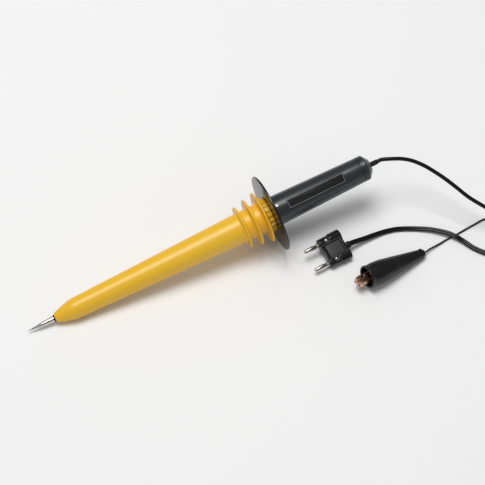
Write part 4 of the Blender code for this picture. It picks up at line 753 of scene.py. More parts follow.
@dataclass(frozen=True)
class Repeat:
    """Copies of a small shape, set out by geometry nodes."""

    layout: Layout
    count: int
    spacing: float  # radius of a ring, or pitch of a row

    def tree(self) -> bpy.types.GeometryNodeTree:
        """Return a new node tree for this layout.

        Returns:
            The node tree.
        """
        made = bpy.data.node_groups.new(f"copies_in_a_{self.layout.value}", "GeometryNodeTree")
        for label, kind in (
            ("Shape", "NodeSocketGeometry"),
            ("Count", "NodeSocketInt"),
            ("Spacing", "NodeSocketFloat"),
            ("Finish", "NodeSocketMaterial"),
        ):
            made.interface.new_socket(label, in_out="INPUT", socket_type=kind)
        made.interface.new_socket("Shape", in_out="OUTPUT", socket_type="NodeSocketGeometry")
        graph = Graph(made)
        given = graph.node("NodeGroupInput").socket.node
        shape, count, spacing, finish = (Wire(graph, given.outputs[i]) for i in range(4))
        angles: Value = (0.0, 0.0, 0.0)
        if self.layout is Layout.RING:
            places = graph.node("GeometryNodeMeshCircle", {}, {"Vertices": count, "Radius": spacing})
            index = graph.node("GeometryNodeInputIndex")
            angles = graph.node("ShaderNodeCombineXYZ", {}, {"Z": index * (2.0 * math.pi) / count})
        else:
            step = graph.node("ShaderNodeCombineXYZ", {}, {"X": spacing})
            places = graph.node("GeometryNodeMeshLine", {}, {"Count": count, "Offset": step})
        inputs = {"Points": places, "Instance": shape, "Rotation": angles}
        copies = graph.node("GeometryNodeInstanceOnPoints", {}, inputs)
        real = graph.node("GeometryNodeRealizeInstances", {}, {0: copies})
        dressed = graph.node("GeometryNodeSetMaterial", {}, {"Geometry": real, "Material": finish})
        made.links.new(dressed.socket, made.nodes.new("NodeGroupOutput").inputs[0])
        return made

    def of(self, name: str, shape: Shape, finish: Finish, place: Matrix) -> Piece:
        """Set out the copies.

        Args:
            name: the new piece's name.
            shape: the shape to copy, at the origin; in a ring its +X points outwards.
            finish: the copies' finish.
            place: where the ring's or the row's own frame goes.

        Returns:
            A plain mesh object that holds all the copies.
        """
        piece = as_piece(name, shape)
        tree = self.tree()
        step = piece.modifiers.new("copies", "NODES")
        step.node_group = tree
        names = {item.name: item.identifier for item in tree.interface.items_tree if item.in_out == "INPUT"}
        step[names["Count"]] = self.count
        step[names["Spacing"]] = self.spacing
        step[names["Finish"]] = finish.material()
        settle(piece)
        piece.data.transform(place)
        return piece


# ---------------------------------------------------------------- probe
@dataclass
class Probe:
    """The yellow barrel, the disc and the handle, all turned about one leaning axis."""

    tip_cone_length: float = 0.0140
    tip_point_radius: float = 0.00018
    tip_cone_radius: float = 0.0020
    tip_shank_radius: float = 0.00245
    tip_length: float = 0.0254
    tip_stud_radius: float = 0.0012
    tip_stud_length: float = 0.0110
    bushing_flange_radius: float = 0.0032
    bushing_flange: float = 0.0006
    bushing_radius: float = 0.0023
    bushing_length: float = 0.0142
    nose_radius: float = 0.0036
    nose_length: float = 0.0185
    nose_swell: float = 0.72
    nose_steps: int = 14
    nose_crowding: float = 1.3  # above 1, the steps are closer at the front
    shoulder_radius: float = 0.0096
    shoulder_blend: float = 0.0010
    barrel_rear_radius: float = 0.0144
    barrel_length: float = 0.2076
    barrel_wall: float = 0.0024
    barrel_thread: float = 0.0130
    barrel_front_bore: float = 0.0033
    ring_first: float = 0.1853
    ring_pitch: float = 0.0101
    ring_radii: tuple = (0.0195, 0.0220, 0.0240)
    ring_root: float = 0.0022  # thickness at the foot
    ring_rim: float = 0.0017  # and at the rim
    ring_fillet: float = 0.0021
    collar_radius: float = 0.0164
    collar_length: float = 0.0046
    collar_ribs: int = 20
    collar_rib_depth: float = 0.0011
    collar_rib_top: float = 0.20  # half width, as a share of the pitch
    collar_rib_foot: float = 0.32
    disc_radius: float = 0.0364
    disc_thickness: float = 0.0020
    disc_rim: float = 0.0005
    stub_radius: float = 0.0090
    handle_front_radius: float = 0.0140
    handle_rear_radius: float = 0.0119
    handle_length: float = 0.0892
    handle_bore: float = 0.0102
    handle_seat_length: float = 0.0163  # of the narrower hole at the front
    handle_lip_radius: float = 0.0145
    handle_lip_length: float = 0.0020
    handle_lip_slope: float = 0.0007
    label_length: float = 0.0570
    label_width: float = 0.0086
    label_thickness: float = 0.0006
    label_start: float = 0.0146
    label_roll: float = math.radians(28.0)
    screw_place: float = 0.0052
    screw_radius: float = 0.0014
    screw_length: float = 0.0034
    screw_roll: float = math.radians(11.0)
    screw_rim: float = 0.0003
    screw_cup: float = 0.0010  # depth of the hollow in its face
    screw_drive: float = 0.0008
    screw_drive_depth: float = 0.0014
    screw_hole_start: float = 0.007  # from the axis
    cap_length: float = 0.0106
    cap_cone_length: float = 0.0049
    cap_face_radius: float = 0.0060
    cap_spigot: float = 0.0060
    cap_wall: float = 0.0018
    cap_grooves: int = 2
    cap_groove_pitch: float = 0.0018
    cap_groove_depth: float = 0.0004
    cap_groove_width: float = 0.0005
    gland_radius: float = 0.00245
    gland_length: float = 0.0080
    gland_taper: float = 0.0001
    gland_flange_radius: float = 0.0042
    gland_flange: float = 0.0016
    overshoot: float = 0.001  # by which a cutting shape stands out
    pocket_cut: float = 0.004  # height of the shape that cuts the plate's pocket
    hole_cut: float = 0.020  # from the axis, end of the shape that cuts the screw's hole

    def __post_init__(self) -> None:
        """Work out the stations along the axis and the axis itself."""
        self.bushing_start = self.tip_length + SEAT
        self.nose_start = self.bushing_start + self.bushing_flange + SEAT
        self.shoulder = self.nose_start + self.nose_length
        self.barrel_end = self.nose_start + self.barrel_length
        self.collar_start = self.barrel_end + SEAT
        self.disc_start = self.collar_start + self.collar_length + SEAT
        self.handle_start = self.disc_start + self.disc_thickness + SEAT
        self.handle_end = self.handle_start + self.handle_length
        self.cap_start = self.handle_end + SEAT
        self.cap_end = self.cap_start + self.cap_length
        self.gland_end = self.cap_end + self.gland_length
        self.stub_hole = self.stub_radius + SEAT
        reach = self.disc_start + self.disc_rim
        self.lean = math.atan2(self.disc_radius - self.shoulder_radius, reach - self.shoulder)
        half = (self.gland_end * math.cos(self.lean) + self.gland_radius * math.sin(self.lean)) / 2.0
        height = self.disc_radius * math.cos(self.lean) - reach * math.sin(self.lean)
        self.axis = at(-half, 0.0, height) @ turn(0.0, -self.lean, 0.0)
        self.along = Vector((math.cos(self.lean), 0.0, math.sin(self.lean)))
        self.exit = self.axis @ Vector((self.gland_end + SEAT, 0.0, 0.0))

    def barrel_radius(self, station: float) -> float:
        """Return the barrel's outer radius at a station, rings left out.

        Args:
            station: distance from the tip along the axis.

        Returns:
            The radius.
        """
        if station < self.shoulder:
            share = max(0.0, (station - self.nose_start) / self.nose_length)
            return self.nose_radius + (self.shoulder_radius - self.nose_radius) * share ** self.nose_swell
        share = (station - self.shoulder) / (self.barrel_end - self.shoulder)
        return self.shoulder_radius + (self.barrel_rear_radius - self.shoulder_radius) * share

    def handle_radius(self, station: float) -> float:
        """Return the handle's outer radius at a station."""
        share = (station - self.handle_start) / self.handle_length
        return self.handle_front_radius + (self.handle_rear_radius - self.handle_front_radius) * share

    def build(self) -> None:
        """Build and dress every piece that shows."""
        self.build_tip()
        self.build_barrel()
        self.build_collar()
        self.build_disc()
        self.build_handle()
        self.build_label()
        self.build_screw()
        self.build_cap()

    def build_tip(self) -> None:
        """Build the sharp tip and its bushing, whose black flange is painted shade in the recess between the
        tip and the nose.
        """
        stud_end = self.bushing_start + self.tip_stud_length
        tip = [
            (0.0, 0.0, 0.0), (0.0, self.tip_point_radius * 0.6, 0.0001),
            (self.tip_point_radius, self.tip_point_radius, 0.0003),
            (self.tip_cone_length, self.tip_cone_radius, 0.0012),
            (self.tip_length, self.tip_shank_radius, 0.0002), (self.tip_length, self.tip_stud_radius, 0.0),
            (stud_end, self.tip_stud_radius, 0.0001), (stud_end, 0.0, 0.0),
        ]
        dress(turned("needle_tip", tip, self.axis, 64), Finishes.NICKEL, "probe_tip")
        front, flange_end = self.tip_length + SEAT / 4.0, self.nose_start - SEAT / 4.0
        hole, hole_end = self.tip_stud_radius + SEAT, stud_end + SEAT
        end = flange_end + self.bushing_length
        bushing = [
            (hole_end, 0.0, 0.0), (hole_end, hole, 0.0), (front, hole, 0.0001),
            (front, self.bushing_flange_radius, 0.00015), (flange_end, self.bushing_flange_radius, 0.00015),
            (flange_end, self.bushing_radius, 0.0), (end, self.bushing_radius, 0.0002), (end, 0.0, 0.0),
        ]
        # the bushing's black finish is painted shade for the recess between the tip and the nose
        dress(turned("nose_bushing", bushing, self.axis, 64), Finishes.SHADE_BLACK, "tip_bushing")

    def ring(self, middle: float, radius: float) -> list[Corner]:
        """Return the corners of one guard ring, front side first.

        Args:
            middle: station of the ring's middle.
            radius: its outer radius.

        Returns:
            The corners.
        """
        foot, rim = self.ring_root / 2.0, self.ring_rim / 2.0
        return [
            (middle - foot, self.barrel_radius(middle - foot), self.ring_fillet),
            (middle - rim, radius, rim), (middle + rim, radius, rim),
            (middle + foot, self.barrel_radius(middle + foot), self.ring_fillet),
        ]

    def build_barrel(self) -> None:
        """Build the barrel with its nose and its three guard rings."""
        nose_hole = self.bushing_radius + SEAT
        outer: list[Corner] = [
            (self.nose_start, nose_hole, 0.0002), (self.nose_start, self.nose_radius, 0.0006),
        ]
        for step in range(1, self.nose_steps):
            station = self.nose_start + self.nose_length * (step / self.nose_steps) ** self.nose_crowding
            outer.append((station, self.barrel_radius(station), 0.0004))
        blend = self.shoulder + self.shoulder_blend
        outer.append((blend, self.barrel_radius(blend) - 0.0001, 0.0040))
        for index, radius in enumerate(self.ring_radii):
            outer += self.ring(self.nose_start + self.ring_first + self.ring_pitch * index, radius)
        outer.append((self.barrel_end, self.barrel_rear_radius, 0.0003))
        cavity_start = self.bushing_start + self.bushing_flange + self.bushing_length + SEAT
        cavity_end = self.barrel_end - self.barrel_thread
        front = self.shoulder + self.barrel_wall
        inner = [
            (self.barrel_end, self.stub_hole, 0.0003), (cavity_end, self.stub_hole, 0.0),
            (cavity_end - self.barrel_wall, self.barrel_radius(cavity_end) - self.barrel_wall, 0.0),
            (front, self.barrel_radius(front) - self.barrel_wall, 0.0),
            (cavity_start, self.barrel_front_bore, 0.0), (cavity_start, nose_hole, 0.0),
        ]
        dress(turned("barrel", outer + inner, self.axis, 144, True), Finishes.YELLOW, "barrel_shell")

    def build_collar(self) -> None:
        """Build the ring with coarse ribs between the barrel and the disc."""
        root, hole = self.collar_radius - self.collar_rib_depth, self.stub_hole
        start, end = self.collar_start, self.collar_start + self.collar_length
        ring = [(start, hole, 0.0002), (start, root, 0.0003), (end, root, 0.0003), (end, hole, 0.0002)]
        collar = turned("ribbed_collar", ring, self.axis, 120, True)
        pitch = 2.0 * math.pi * self.collar_radius / self.collar_ribs
        top, foot, depth = self.collar_rib_top * pitch, self.collar_rib_foot * pitch, self.collar_rib_depth
        outline = [(-SEAT, -foot, 0.0), (depth, -top, 0.0003), (depth, top, 0.0003), (-SEAT, foot, 0.0)]
        half = self.collar_length / 2.0 - 0.0001
        rib = prism(rounded(outline, True, 3), -half, half, HERE, 0.0002)
        place = self.axis @ at((start + end) / 2.0, 0.0, 0.0) @ Matrix.Rotation(math.pi / 2.0, 4, "Y")
        ribs = Repeat(Layout.RING, self.collar_ribs, root).of("collar_ribs", rib, Finishes.YELLOW, place)
        tool = bmesh.new()
        tool.from_mesh(ribs.data)
        bpy.data.objects.remove(ribs)
        dress(combine(collar, [tool], "UNION"), Finishes.YELLOW, "barrel_collar")

    def build_disc(self) -> None:
        """Build the large black disc."""
        front, rear, radius = self.disc_start, self.disc_start + self.disc_thickness, self.disc_radius
        hole = self.stub_hole
        disc = [(front, hole, 0.0), (front, radius, 0.0008), (rear, radius, 0.0008), (rear, hole, 0.0)]
        dress(turned("black_disc", disc, self.axis, 224, True), Finishes.DISC, "guard_disc")

    def label_seat(self) -> Matrix:
        """Return the frame of the plate's pocket: X along the handle, Z out of it.

        Returns:
            The frame.
        """
        front = self.handle_start + self.label_start
        middle = front + self.label_length / 2.0
        narrowing = self.handle_radius(front) - self.handle_radius(front + self.label_length)
        half = self.label_width / 2.0 + SEAT
        surface = math.sqrt(self.handle_radius(middle) ** 2 - half ** 2)
        roll = Matrix.Rotation(self.label_roll, 4, "X")
        slope = Matrix.Rotation(math.atan2(narrowing, self.label_length), 4, "Y")
        return self.axis @ at(middle, 0.0, 0.0) @ roll @ at(0.0, 0.0, surface) @ slope

    def screw_seat(self) -> Matrix:
        """Return the frame of the grub screw, whose X points out of the handle."""
        roll = Matrix.Rotation(self.screw_roll, 4, "X")
        return self.axis @ at(self.handle_start + self.screw_place, 0.0, 0.0) @ roll @ UPRIGHT

    def build_handle(self) -> None:
        """Build the handle with its pocket and its screw hole."""
        start, end, bore = self.handle_start, self.handle_end, self.handle_bore
        lip_end, hole_end = start + self.handle_lip_length, start + self.handle_seat_length
        slope_end = lip_end + self.handle_lip_slope
        handle = [
            (start, self.stub_hole, 0.0003), (start, self.handle_lip_radius, 0.0008),
            (lip_end, self.handle_lip_radius, 0.0006), (slope_end, self.handle_radius(slope_end), 0.0006),
            (end, self.handle_rear_radius, 0.0003), (end, bore, 0.0),
            (hole_end, bore, 0.0), (hole_end, self.stub_hole, 0.0),
        ]
        piece = turned("handle", handle, self.axis, 128, True)
        corners = rectangle(self.label_length / 2.0 + SEAT, self.label_width / 2.0 + SEAT, 0.0008)
        floor = -self.label_thickness - SEAT
        pocket = prism(rounded(corners, True), floor, self.pocket_cut, self.label_seat())
        hole = rod(self.screw_hole_start, self.hole_cut, self.screw_radius + SEAT)
        combine(piece, [pocket, lathe(hole, self.screw_seat(), 48)], "DIFFERENCE")
        dress(piece, Finishes.HANDLE, "handle_shell")

    def build_label(self) -> None:
        """Build the bare plate in the pocket."""
        length, width = self.label_length, self.label_width
        corners = [(x, y, 0.0007) for x, y in ((0.0, 0.0), (length, 0.0), (length, width), (0.0, width))]
        place = self.label_seat() @ at(-length / 2.0, -width / 2.0, 0.0)
        plate = prism(rounded(corners, True), -self.label_thickness, 0.0, place, 0.00012)
        dress(as_piece("blank_plate", plate, SMOOTH), Finishes.LABEL, "label_plate")

    def build_screw(self) -> None:
        """Build the grub screw that holds the handle."""
        low = self.stub_hole
        top = low + self.screw_length
        screw = [
            (low, 0.0, 0.0), (low, self.screw_radius, 0.0002), (top, self.screw_radius, 0.0003),
            (top, self.screw_radius - self.screw_rim, 0.0001), (top - self.screw_cup, 0.0, 0.0),
        ]
        piece = turned("grub_screw", screw, self.screw_seat(), 48)
        socket = rod(top - self.screw_drive_depth, top + self.overshoot, self.screw_drive)
        combine(piece, [lathe(socket, self.screw_seat(), 6)], "DIFFERENCE")
        dress(piece, Finishes.NICKEL, "handle_screw")

    def build_cap(self) -> None:
        """Build the rear cap and the cable's gland."""
        start, end, radius = self.cap_start, self.cap_end, self.handle_rear_radius
        cone, floor = end - self.cap_cone_length, radius - self.cap_groove_depth
        spigot = self.handle_bore - SEAT
        outer: list[Corner] = [
            (start - self.cap_spigot, spigot, 0.0003), (start, spigot, 0.0), (start, radius, 0.0002),
        ]
        for index in range(self.cap_grooves):
            low = start + self.cap_groove_width + self.cap_groove_pitch * index
            high = low + self.cap_groove_width
            outer += [(low, radius, 0.00012), (low, floor, 0.0001)]
            outer += [(high, floor, 0.0001), (high, radius, 0.00012)]
        outer += [(cone, radius, 0.0005), (end, self.cap_face_radius, 0.0006)]
        seat, hole, wide = cone + SEAT, self.gland_radius + SEAT, self.gland_flange_radius + SEAT
        inner = [
            (end, hole, 0.0003), (seat, hole, 0.0), (seat, wide, 0.0), (start, wide, 0.0),
            (start, spigot - self.cap_wall, 0.0), (start - self.cap_spigot, spigot - self.cap_wall, 0.0),
        ]
        piece = turned("rear_cap", outer + inner, self.axis, 128, True, 4)
        dress(piece, Finishes.HANDLE, "handle_end_cap")
        front = cone - self.gland_flange
        gland = [
            (front, 0.0, 0.0), (front, self.gland_flange_radius, 0.0003),
            (cone, self.gland_flange_radius, 0.0003), (cone, self.gland_radius, 0.0),
            (self.gland_end, self.gland_radius - self.gland_taper, 0.0006), (self.gland_end, 0.0, 0.0),
        ]
        dress(turned("cable_sleeve", gland, self.axis, 64), Finishes.CORD, "cable_gland")


# ---------------------------------------------------------------- plug
@dataclass
class Plug:
    """The double banana plug; X leads out along the pins and Z is its top."""

    place: tuple = (0.0968, -0.0450)
    heading: float = math.radians(185.7)
    roll: float = math.radians(-20.3)
    spacing: float = 0.01905
    length: float = 0.0225
    barrel_radius: float = 0.0049
    sleeve_radius: float = 0.0056
    sleeve_length: float = 0.0110
    sleeve_step: float = 0.0004
    web_top: float = 0.0032
    web_bottom: float = 0.0040
    web_inset: float = 0.0002
    cover_length: float = 0.0150
    cover_width: float = 0.0122
    cover_thickness: float = 0.0010
    ridge_width: float = 0.0009  # of the low ridges round the cover
    ridge_foot: float = 0.0010
    ridge_rear: float = 0.0010  # from the plug's rear end
    ridge_front: float = 0.0016  # from its front face
    ridge_top: float = 0.0053
    ridge_edge: float = 0.0004
    rear_ridge: float = 0.0016
    boss_radius: float = 0.0024  # of the seat under each screw's ring
    boss_foot: float = 0.0036
    boss_width: float = 0.0008  # of the ring round each screw
    boss_proud: float = 0.0005
    hollow_radius: float = 0.0130  # of the hollow in the web's front
    hollow_depth: float = 0.0010
    pin_reach: float = 0.0156
    pin_depth: float = 0.0120
    stem_radius: float = 0.0015
    pin_collar_radius: float = 0.0024
    pin_collar_length: float = 0.0018
    core_radius: float = 0.0012
    waist_radius: float = 0.0006  # of the core inside the cage, where it is turned down
    nose_radius: float = 0.0018
    nose_length: float = 0.0020
    nose_end: float = 0.0009
    cage_wall: float = 0.0003
    cage_bulge: float = 0.0005
    cage_steps: int = 16
    cage_leaves: int = 4
    cage_slot: float = 0.0010
    cage_rim: float = 0.0013
    cage_turn: float = math.radians(-9.0)
    screw_radius: float = 0.0015
    screw_dome: float = 0.0002
    screw_length: float = 0.0028
    screw_place: float = 0.0076
    screw_slot: float = 0.0005
    screw_slot_depth: float = 0.0008
    well_floor: float = 0.0012
    relief_length: float = 0.0040
    relief_margin: float = 0.0009
    relief_offset: float = 0.0026
    cable_width: float = 0.0049
    cable_height: float = 0.0028
    skin: float = 0.00017  # grain of the mesh that melts the moulding together
    pin_hole_end: float = 0.002  # how far each cutting shape reaches, here and below
    well_end: float = 0.009
    hollow_end: float = 0.02
    recess_end: float = 0.003
    cage_slot_end: float = 0.004
    screw_slot_end: float = 0.003
    screw_slot_top: float = 0.001

    def __post_init__(self) -> None:
        """Work out the plug's frame and where the cable enters."""
        self.half = self.spacing / 2.0
        fall = self.half * math.sin(-self.roll)
        self.axis = at(*self.place, self.sleeve_radius + fall) @ turn(self.roll, 0.0, self.heading)
        self.relief_rear = -self.length - SEAT - self.relief_length

    def beside(self, side: float) -> Matrix:
        """Return the frame of one barrel and its pin."""
        return self.axis @ at(0.0, side * self.half, 0.0)

    def screw_seat(self, side: float) -> Matrix:
        """Return the frame of one set screw, whose X points up."""
        return self.axis @ at(-self.screw_place, side * self.half, 0.0) @ UPRIGHT

    def build(self) -> list[Piece]:
        """Build and dress every piece.

        Returns:
            The pieces, at the end of the plug's cable.
        """
        made = [self.build_body(), self.build_cover(), self.build_relief(), *self.build_ridges()]
        for word, side in SIDES.items():
            made += [self.build_pin(side, word), self.build_shaded_waist(side, word)]
            made += [self.build_cage(side, word), self.build_screw(side, word)]
        return made

    def build_body(self) -> Piece:
        """Build the moulded body: two barrels, the web and the screw bosses.

        Returns:
            The piece.
        """
        rear, half, inset = -self.length, self.half, self.web_inset
        web = block((rear + inset, -half, -self.web_bottom), (-inset, half, self.web_top), self.axis)
        piece = as_piece("plug_moulding", web)
        step = rear + self.sleeve_length
        barrel = [
            (rear, 0.0, 0.0), (rear, self.sleeve_radius, 0.0007), (step, self.sleeve_radius, 0.0005),
            (step + self.sleeve_step, self.barrel_radius, 0.0003), (0.0, self.barrel_radius, 0.0010),
            (0.0, 0.0, 0.0),
        ]
        boss = rod(0.0, self.barrel_radius - 0.0001, self.boss_radius)
        pin_hole = rod(-self.pin_depth, self.pin_hole_end, self.stem_radius + SEAT)
        well = rod(self.well_floor, self.well_end, self.screw_radius + SEAT)
        added, holes = [], []
        for side in SIDES.values():
            beside, up = self.beside(side), self.screw_seat(side)
            added += [lathe(rounded(barrel), beside, 64), lathe(boss, up, 48)]
            holes += [lathe(pin_hole, beside, 32), lathe(well, up, 40)]
        across = self.axis @ at(self.hollow_radius - self.hollow_depth, 0.0, 0.0) @ UPRIGHT
        holes.append(lathe(rod(-self.hollow_end, self.hollow_end, self.hollow_radius), across, 96))
        length, width = self.cover_length / 2.0 + SEAT, self.cover_width / 2.0 + SEAT
        middle, floor = rear / 2.0, self.web_top - self.cover_thickness
        top = self.web_top + self.recess_end
        recess = block((middle - length, -width, floor), (middle + length, width, top), self.axis)
        combine(piece, added, "UNION")
        combine(piece, [*holes, recess], "DIFFERENCE")
        remesh = piece.modifiers.new("skin", "REMESH")
        remesh.mode = "VOXEL"
        remesh.voxel_size = self.skin
        soften = piece.modifiers.new("soften", "SMOOTH")
        soften.factor = 0.5
        soften.iterations = 3
        settle(piece, math.radians(80.0))
        return dress(piece, Finishes.PLUG, "plug_body")

    def build_ridges(self) -> list[Piece]:
        """Build the raised lines round the panel and the rings round the screws, in the panel's lighter grey,
        which on them is painted highlight.

        Returns:
            The pieces.
        """
        side_y = self.cover_width / 2.0 + SEAT + self.ridge_width / 2.0
        low, high, foot = -self.length + self.ridge_rear, -self.ridge_front, self.ridge_foot
        bars = {}
        for word, side in SIDES.items():
            left, right = side * side_y - self.ridge_width / 2.0, side * side_y + self.ridge_width / 2.0
            bars[f"panel_ridge_{word}"] = (low, left, foot), (high, right, self.ridge_top)
        rear = -self.length / 2.0 - self.cover_length / 2.0 - SEAT
        top = self.web_top + self.rear_ridge
        bars["panel_ridge_rear"] = (rear - self.ridge_width, -side_y, foot), (rear, side_y, top)
        made = [as_piece(name, block(*ends, self.axis, self.ridge_edge)) for name, ends in bars.items()]
        inside, top = self.screw_radius + SEAT, self.barrel_radius + self.boss_proud
        outside = inside + self.boss_width
        ring = [
            (self.boss_foot, inside, 0.0), (top, inside, 0.0002),
            (top, outside, 0.0003), (self.boss_foot, outside, 0.0),
        ]
        for word, side in SIDES.items():
            made.append(turned(f"screw_ring_{word}", ring, self.screw_seat(side), 48, True))
        # the lighter grey on the ridges and rings is painted highlight
        return [dress(piece, Finishes.COVER_AND_HIGHLIGHT) for piece in made]

    def build_cover(self) -> Piece:
        """Build the pebbled panel on the web.

        Returns:
            The piece.
        """
        corners = rectangle(self.cover_length / 2.0, self.cover_width / 2.0, 0.0008)
        place = self.axis @ at(-self.length / 2.0, 0.0, self.web_top)
        shape = prism(rounded(corners, True), SEAT - self.cover_thickness, SEAT, place, 0.00025)
        return dress(as_piece("plug_panel", shape), Finishes.COVER_AND_HIGHLIGHT, "plug_cover")

    def build_relief(self) -> Piece:
        """Build the oval sleeve at the cable's entry.

        Returns:
            The piece.
        """
        width = self.cable_width / 2.0 + self.relief_margin
        height = self.cable_height / 2.0 + self.relief_margin
        rear = self.axis @ at(self.relief_rear, self.relief_offset, 0.0)
        place = rear @ turn(math.pi / 2.0, 0.0, math.pi / 2.0)
        outline = rounded(rectangle(width, height, height), True, 10)
        shape = prism(outline, 0.0, self.relief_length, place, 0.0005)
        return dress(as_piece("plug_sleeve", shape), Finishes.PLUG, "plug_strain_relief")

    def build_pin(self, side: float, word: str) -> Piece:
        """Build one pin's core with its collar and its tapered end.

        Args:
            side: 1 for the near side, -1 for the far one.
            word: near or far, for the piece's name.

        Returns:
            The piece.
        """
        collar_end = SEAT + self.pin_collar_length
        rim_end, nose = collar_end + self.cage_rim, self.pin_reach - self.nose_length
        pin = [
            (-self.pin_depth, 0.0, 0.0), (-self.pin_depth, self.stem_radius, 0.0),
            (SEAT, self.stem_radius, 0.0), (SEAT, self.pin_collar_radius, 0.0003),
            (collar_end, self.pin_collar_radius, 0.0003), (collar_end, self.core_radius, 0.0),
            (rim_end, self.core_radius, 0.0), (rim_end, 0.0, 0.0),
        ]
        end = [
            (nose - self.cage_rim, 0.0, 0.0), (nose - self.cage_rim, self.core_radius, 0.0),
            (nose, self.core_radius, 0.0), (nose, self.nose_radius, 0.0002),
            (self.pin_reach - self.nose_end, self.nose_radius, 0.0004),
            (self.pin_reach, self.nose_end, 0.0004), (self.pin_reach, 0.0, 0.0),
        ]
        piece = turned(f"pin_core_{word}", pin, self.beside(side), 56)
        combine(piece, [lathe(rounded(end), self.beside(side), 56)], "UNION")
        return dress(piece, Finishes.NICKEL, f"banana_pin_{word}")

    def build_shaded_waist(self, side: float, word: str) -> Piece:
        """Build a black part of one pin's core, behind the slots of its cage: painted shade that makes the
        slots look dark.

        Args:
            side: 1 for the near side, -1 for the far one.
            word: near or far, for the piece's name.

        Returns:
            The piece.
        """
        low = SEAT * 1.5 + self.pin_collar_length + self.cage_rim
        high = self.pin_reach - self.nose_length - self.cage_rim - SEAT / 2.0
        waist = lathe(rod(low, high, self.waist_radius), self.beside(side), 32)
        # painted shade: the black core makes the cage's slots look dark
        return dress(as_piece(f"pin_waist_{word}", waist), Finishes.SHADE_BLACK)

    def build_cage(self, side: float, word: str) -> Piece:
        """Build one pin's slotted spring cage.

        Args:
            side: 1 for the near side, -1 for the far one.
            word: near or far, for the piece's name.

        Returns:
            The piece.
        """
        place, steps = self.beside(side), self.cage_steps
        inner = self.core_radius + SEAT
        low = 2.0 * SEAT + self.pin_collar_length
        high = self.pin_reach - self.nose_length - SEAT
        rise = [self.cage_bulge * math.sin(math.pi * i / steps) for i in range(steps + 1)]
        where = [low + (high - low) * i / steps for i in range(steps + 1)]
        outline = [(x, inner + self.cage_wall + b) for x, b in zip(where, rise)]
        outline += [(x, inner + b) for x, b in reversed(list(zip(where, rise)))]
        piece = as_piece(f"pin_cage_{word}", lathe(outline, place, 64, hollow=True))
        slot_start = (low + self.cage_rim, -self.cage_slot_end, -self.cage_slot / 2.0)
        slot_end = (high - self.cage_rim, self.cage_slot_end, self.cage_slot / 2.0)
        turns = [self.cage_turn + 2.0 * math.pi * i / self.cage_leaves for i in range(self.cage_leaves // 2)]
        slots = [block(slot_start, slot_end, place @ Matrix.Rotation(angle, 4, "X")) for angle in turns]
        combine(piece, slots, "DIFFERENCE")
        return dress(piece, Finishes.NICKEL, f"pin_spring_{word}")

    def build_screw(self, side: float, word: str) -> Piece:
        """Build one slotted set screw.

        Args:
            side: 1 for the near side, -1 for the far one.
            word: near or far, for the piece's name.

        Returns:
            The piece.
        """
        low = self.stem_radius + SEAT
        top, up = low + self.screw_length, self.screw_seat(side)
        screw = [
            (low, 0.0, 0.0), (low, self.screw_radius, 0.0001), (top, self.screw_radius, 0.0003),
            (top + self.screw_dome, 0.0, 0.0),
        ]
        piece = turned(f"slotted_screw_{word}", screw, up, 48)
        half = self.screw_slot / 2.0
        reach = self.screw_slot_end
        corner = (top + self.screw_slot_top, half, reach)
        slot = block((top - self.screw_slot_depth, -half, -reach), corner, up)
        combine(piece, [slot], "DIFFERENCE")
        return dress(piece, Finishes.NICKEL, f"set_screw_{word}")


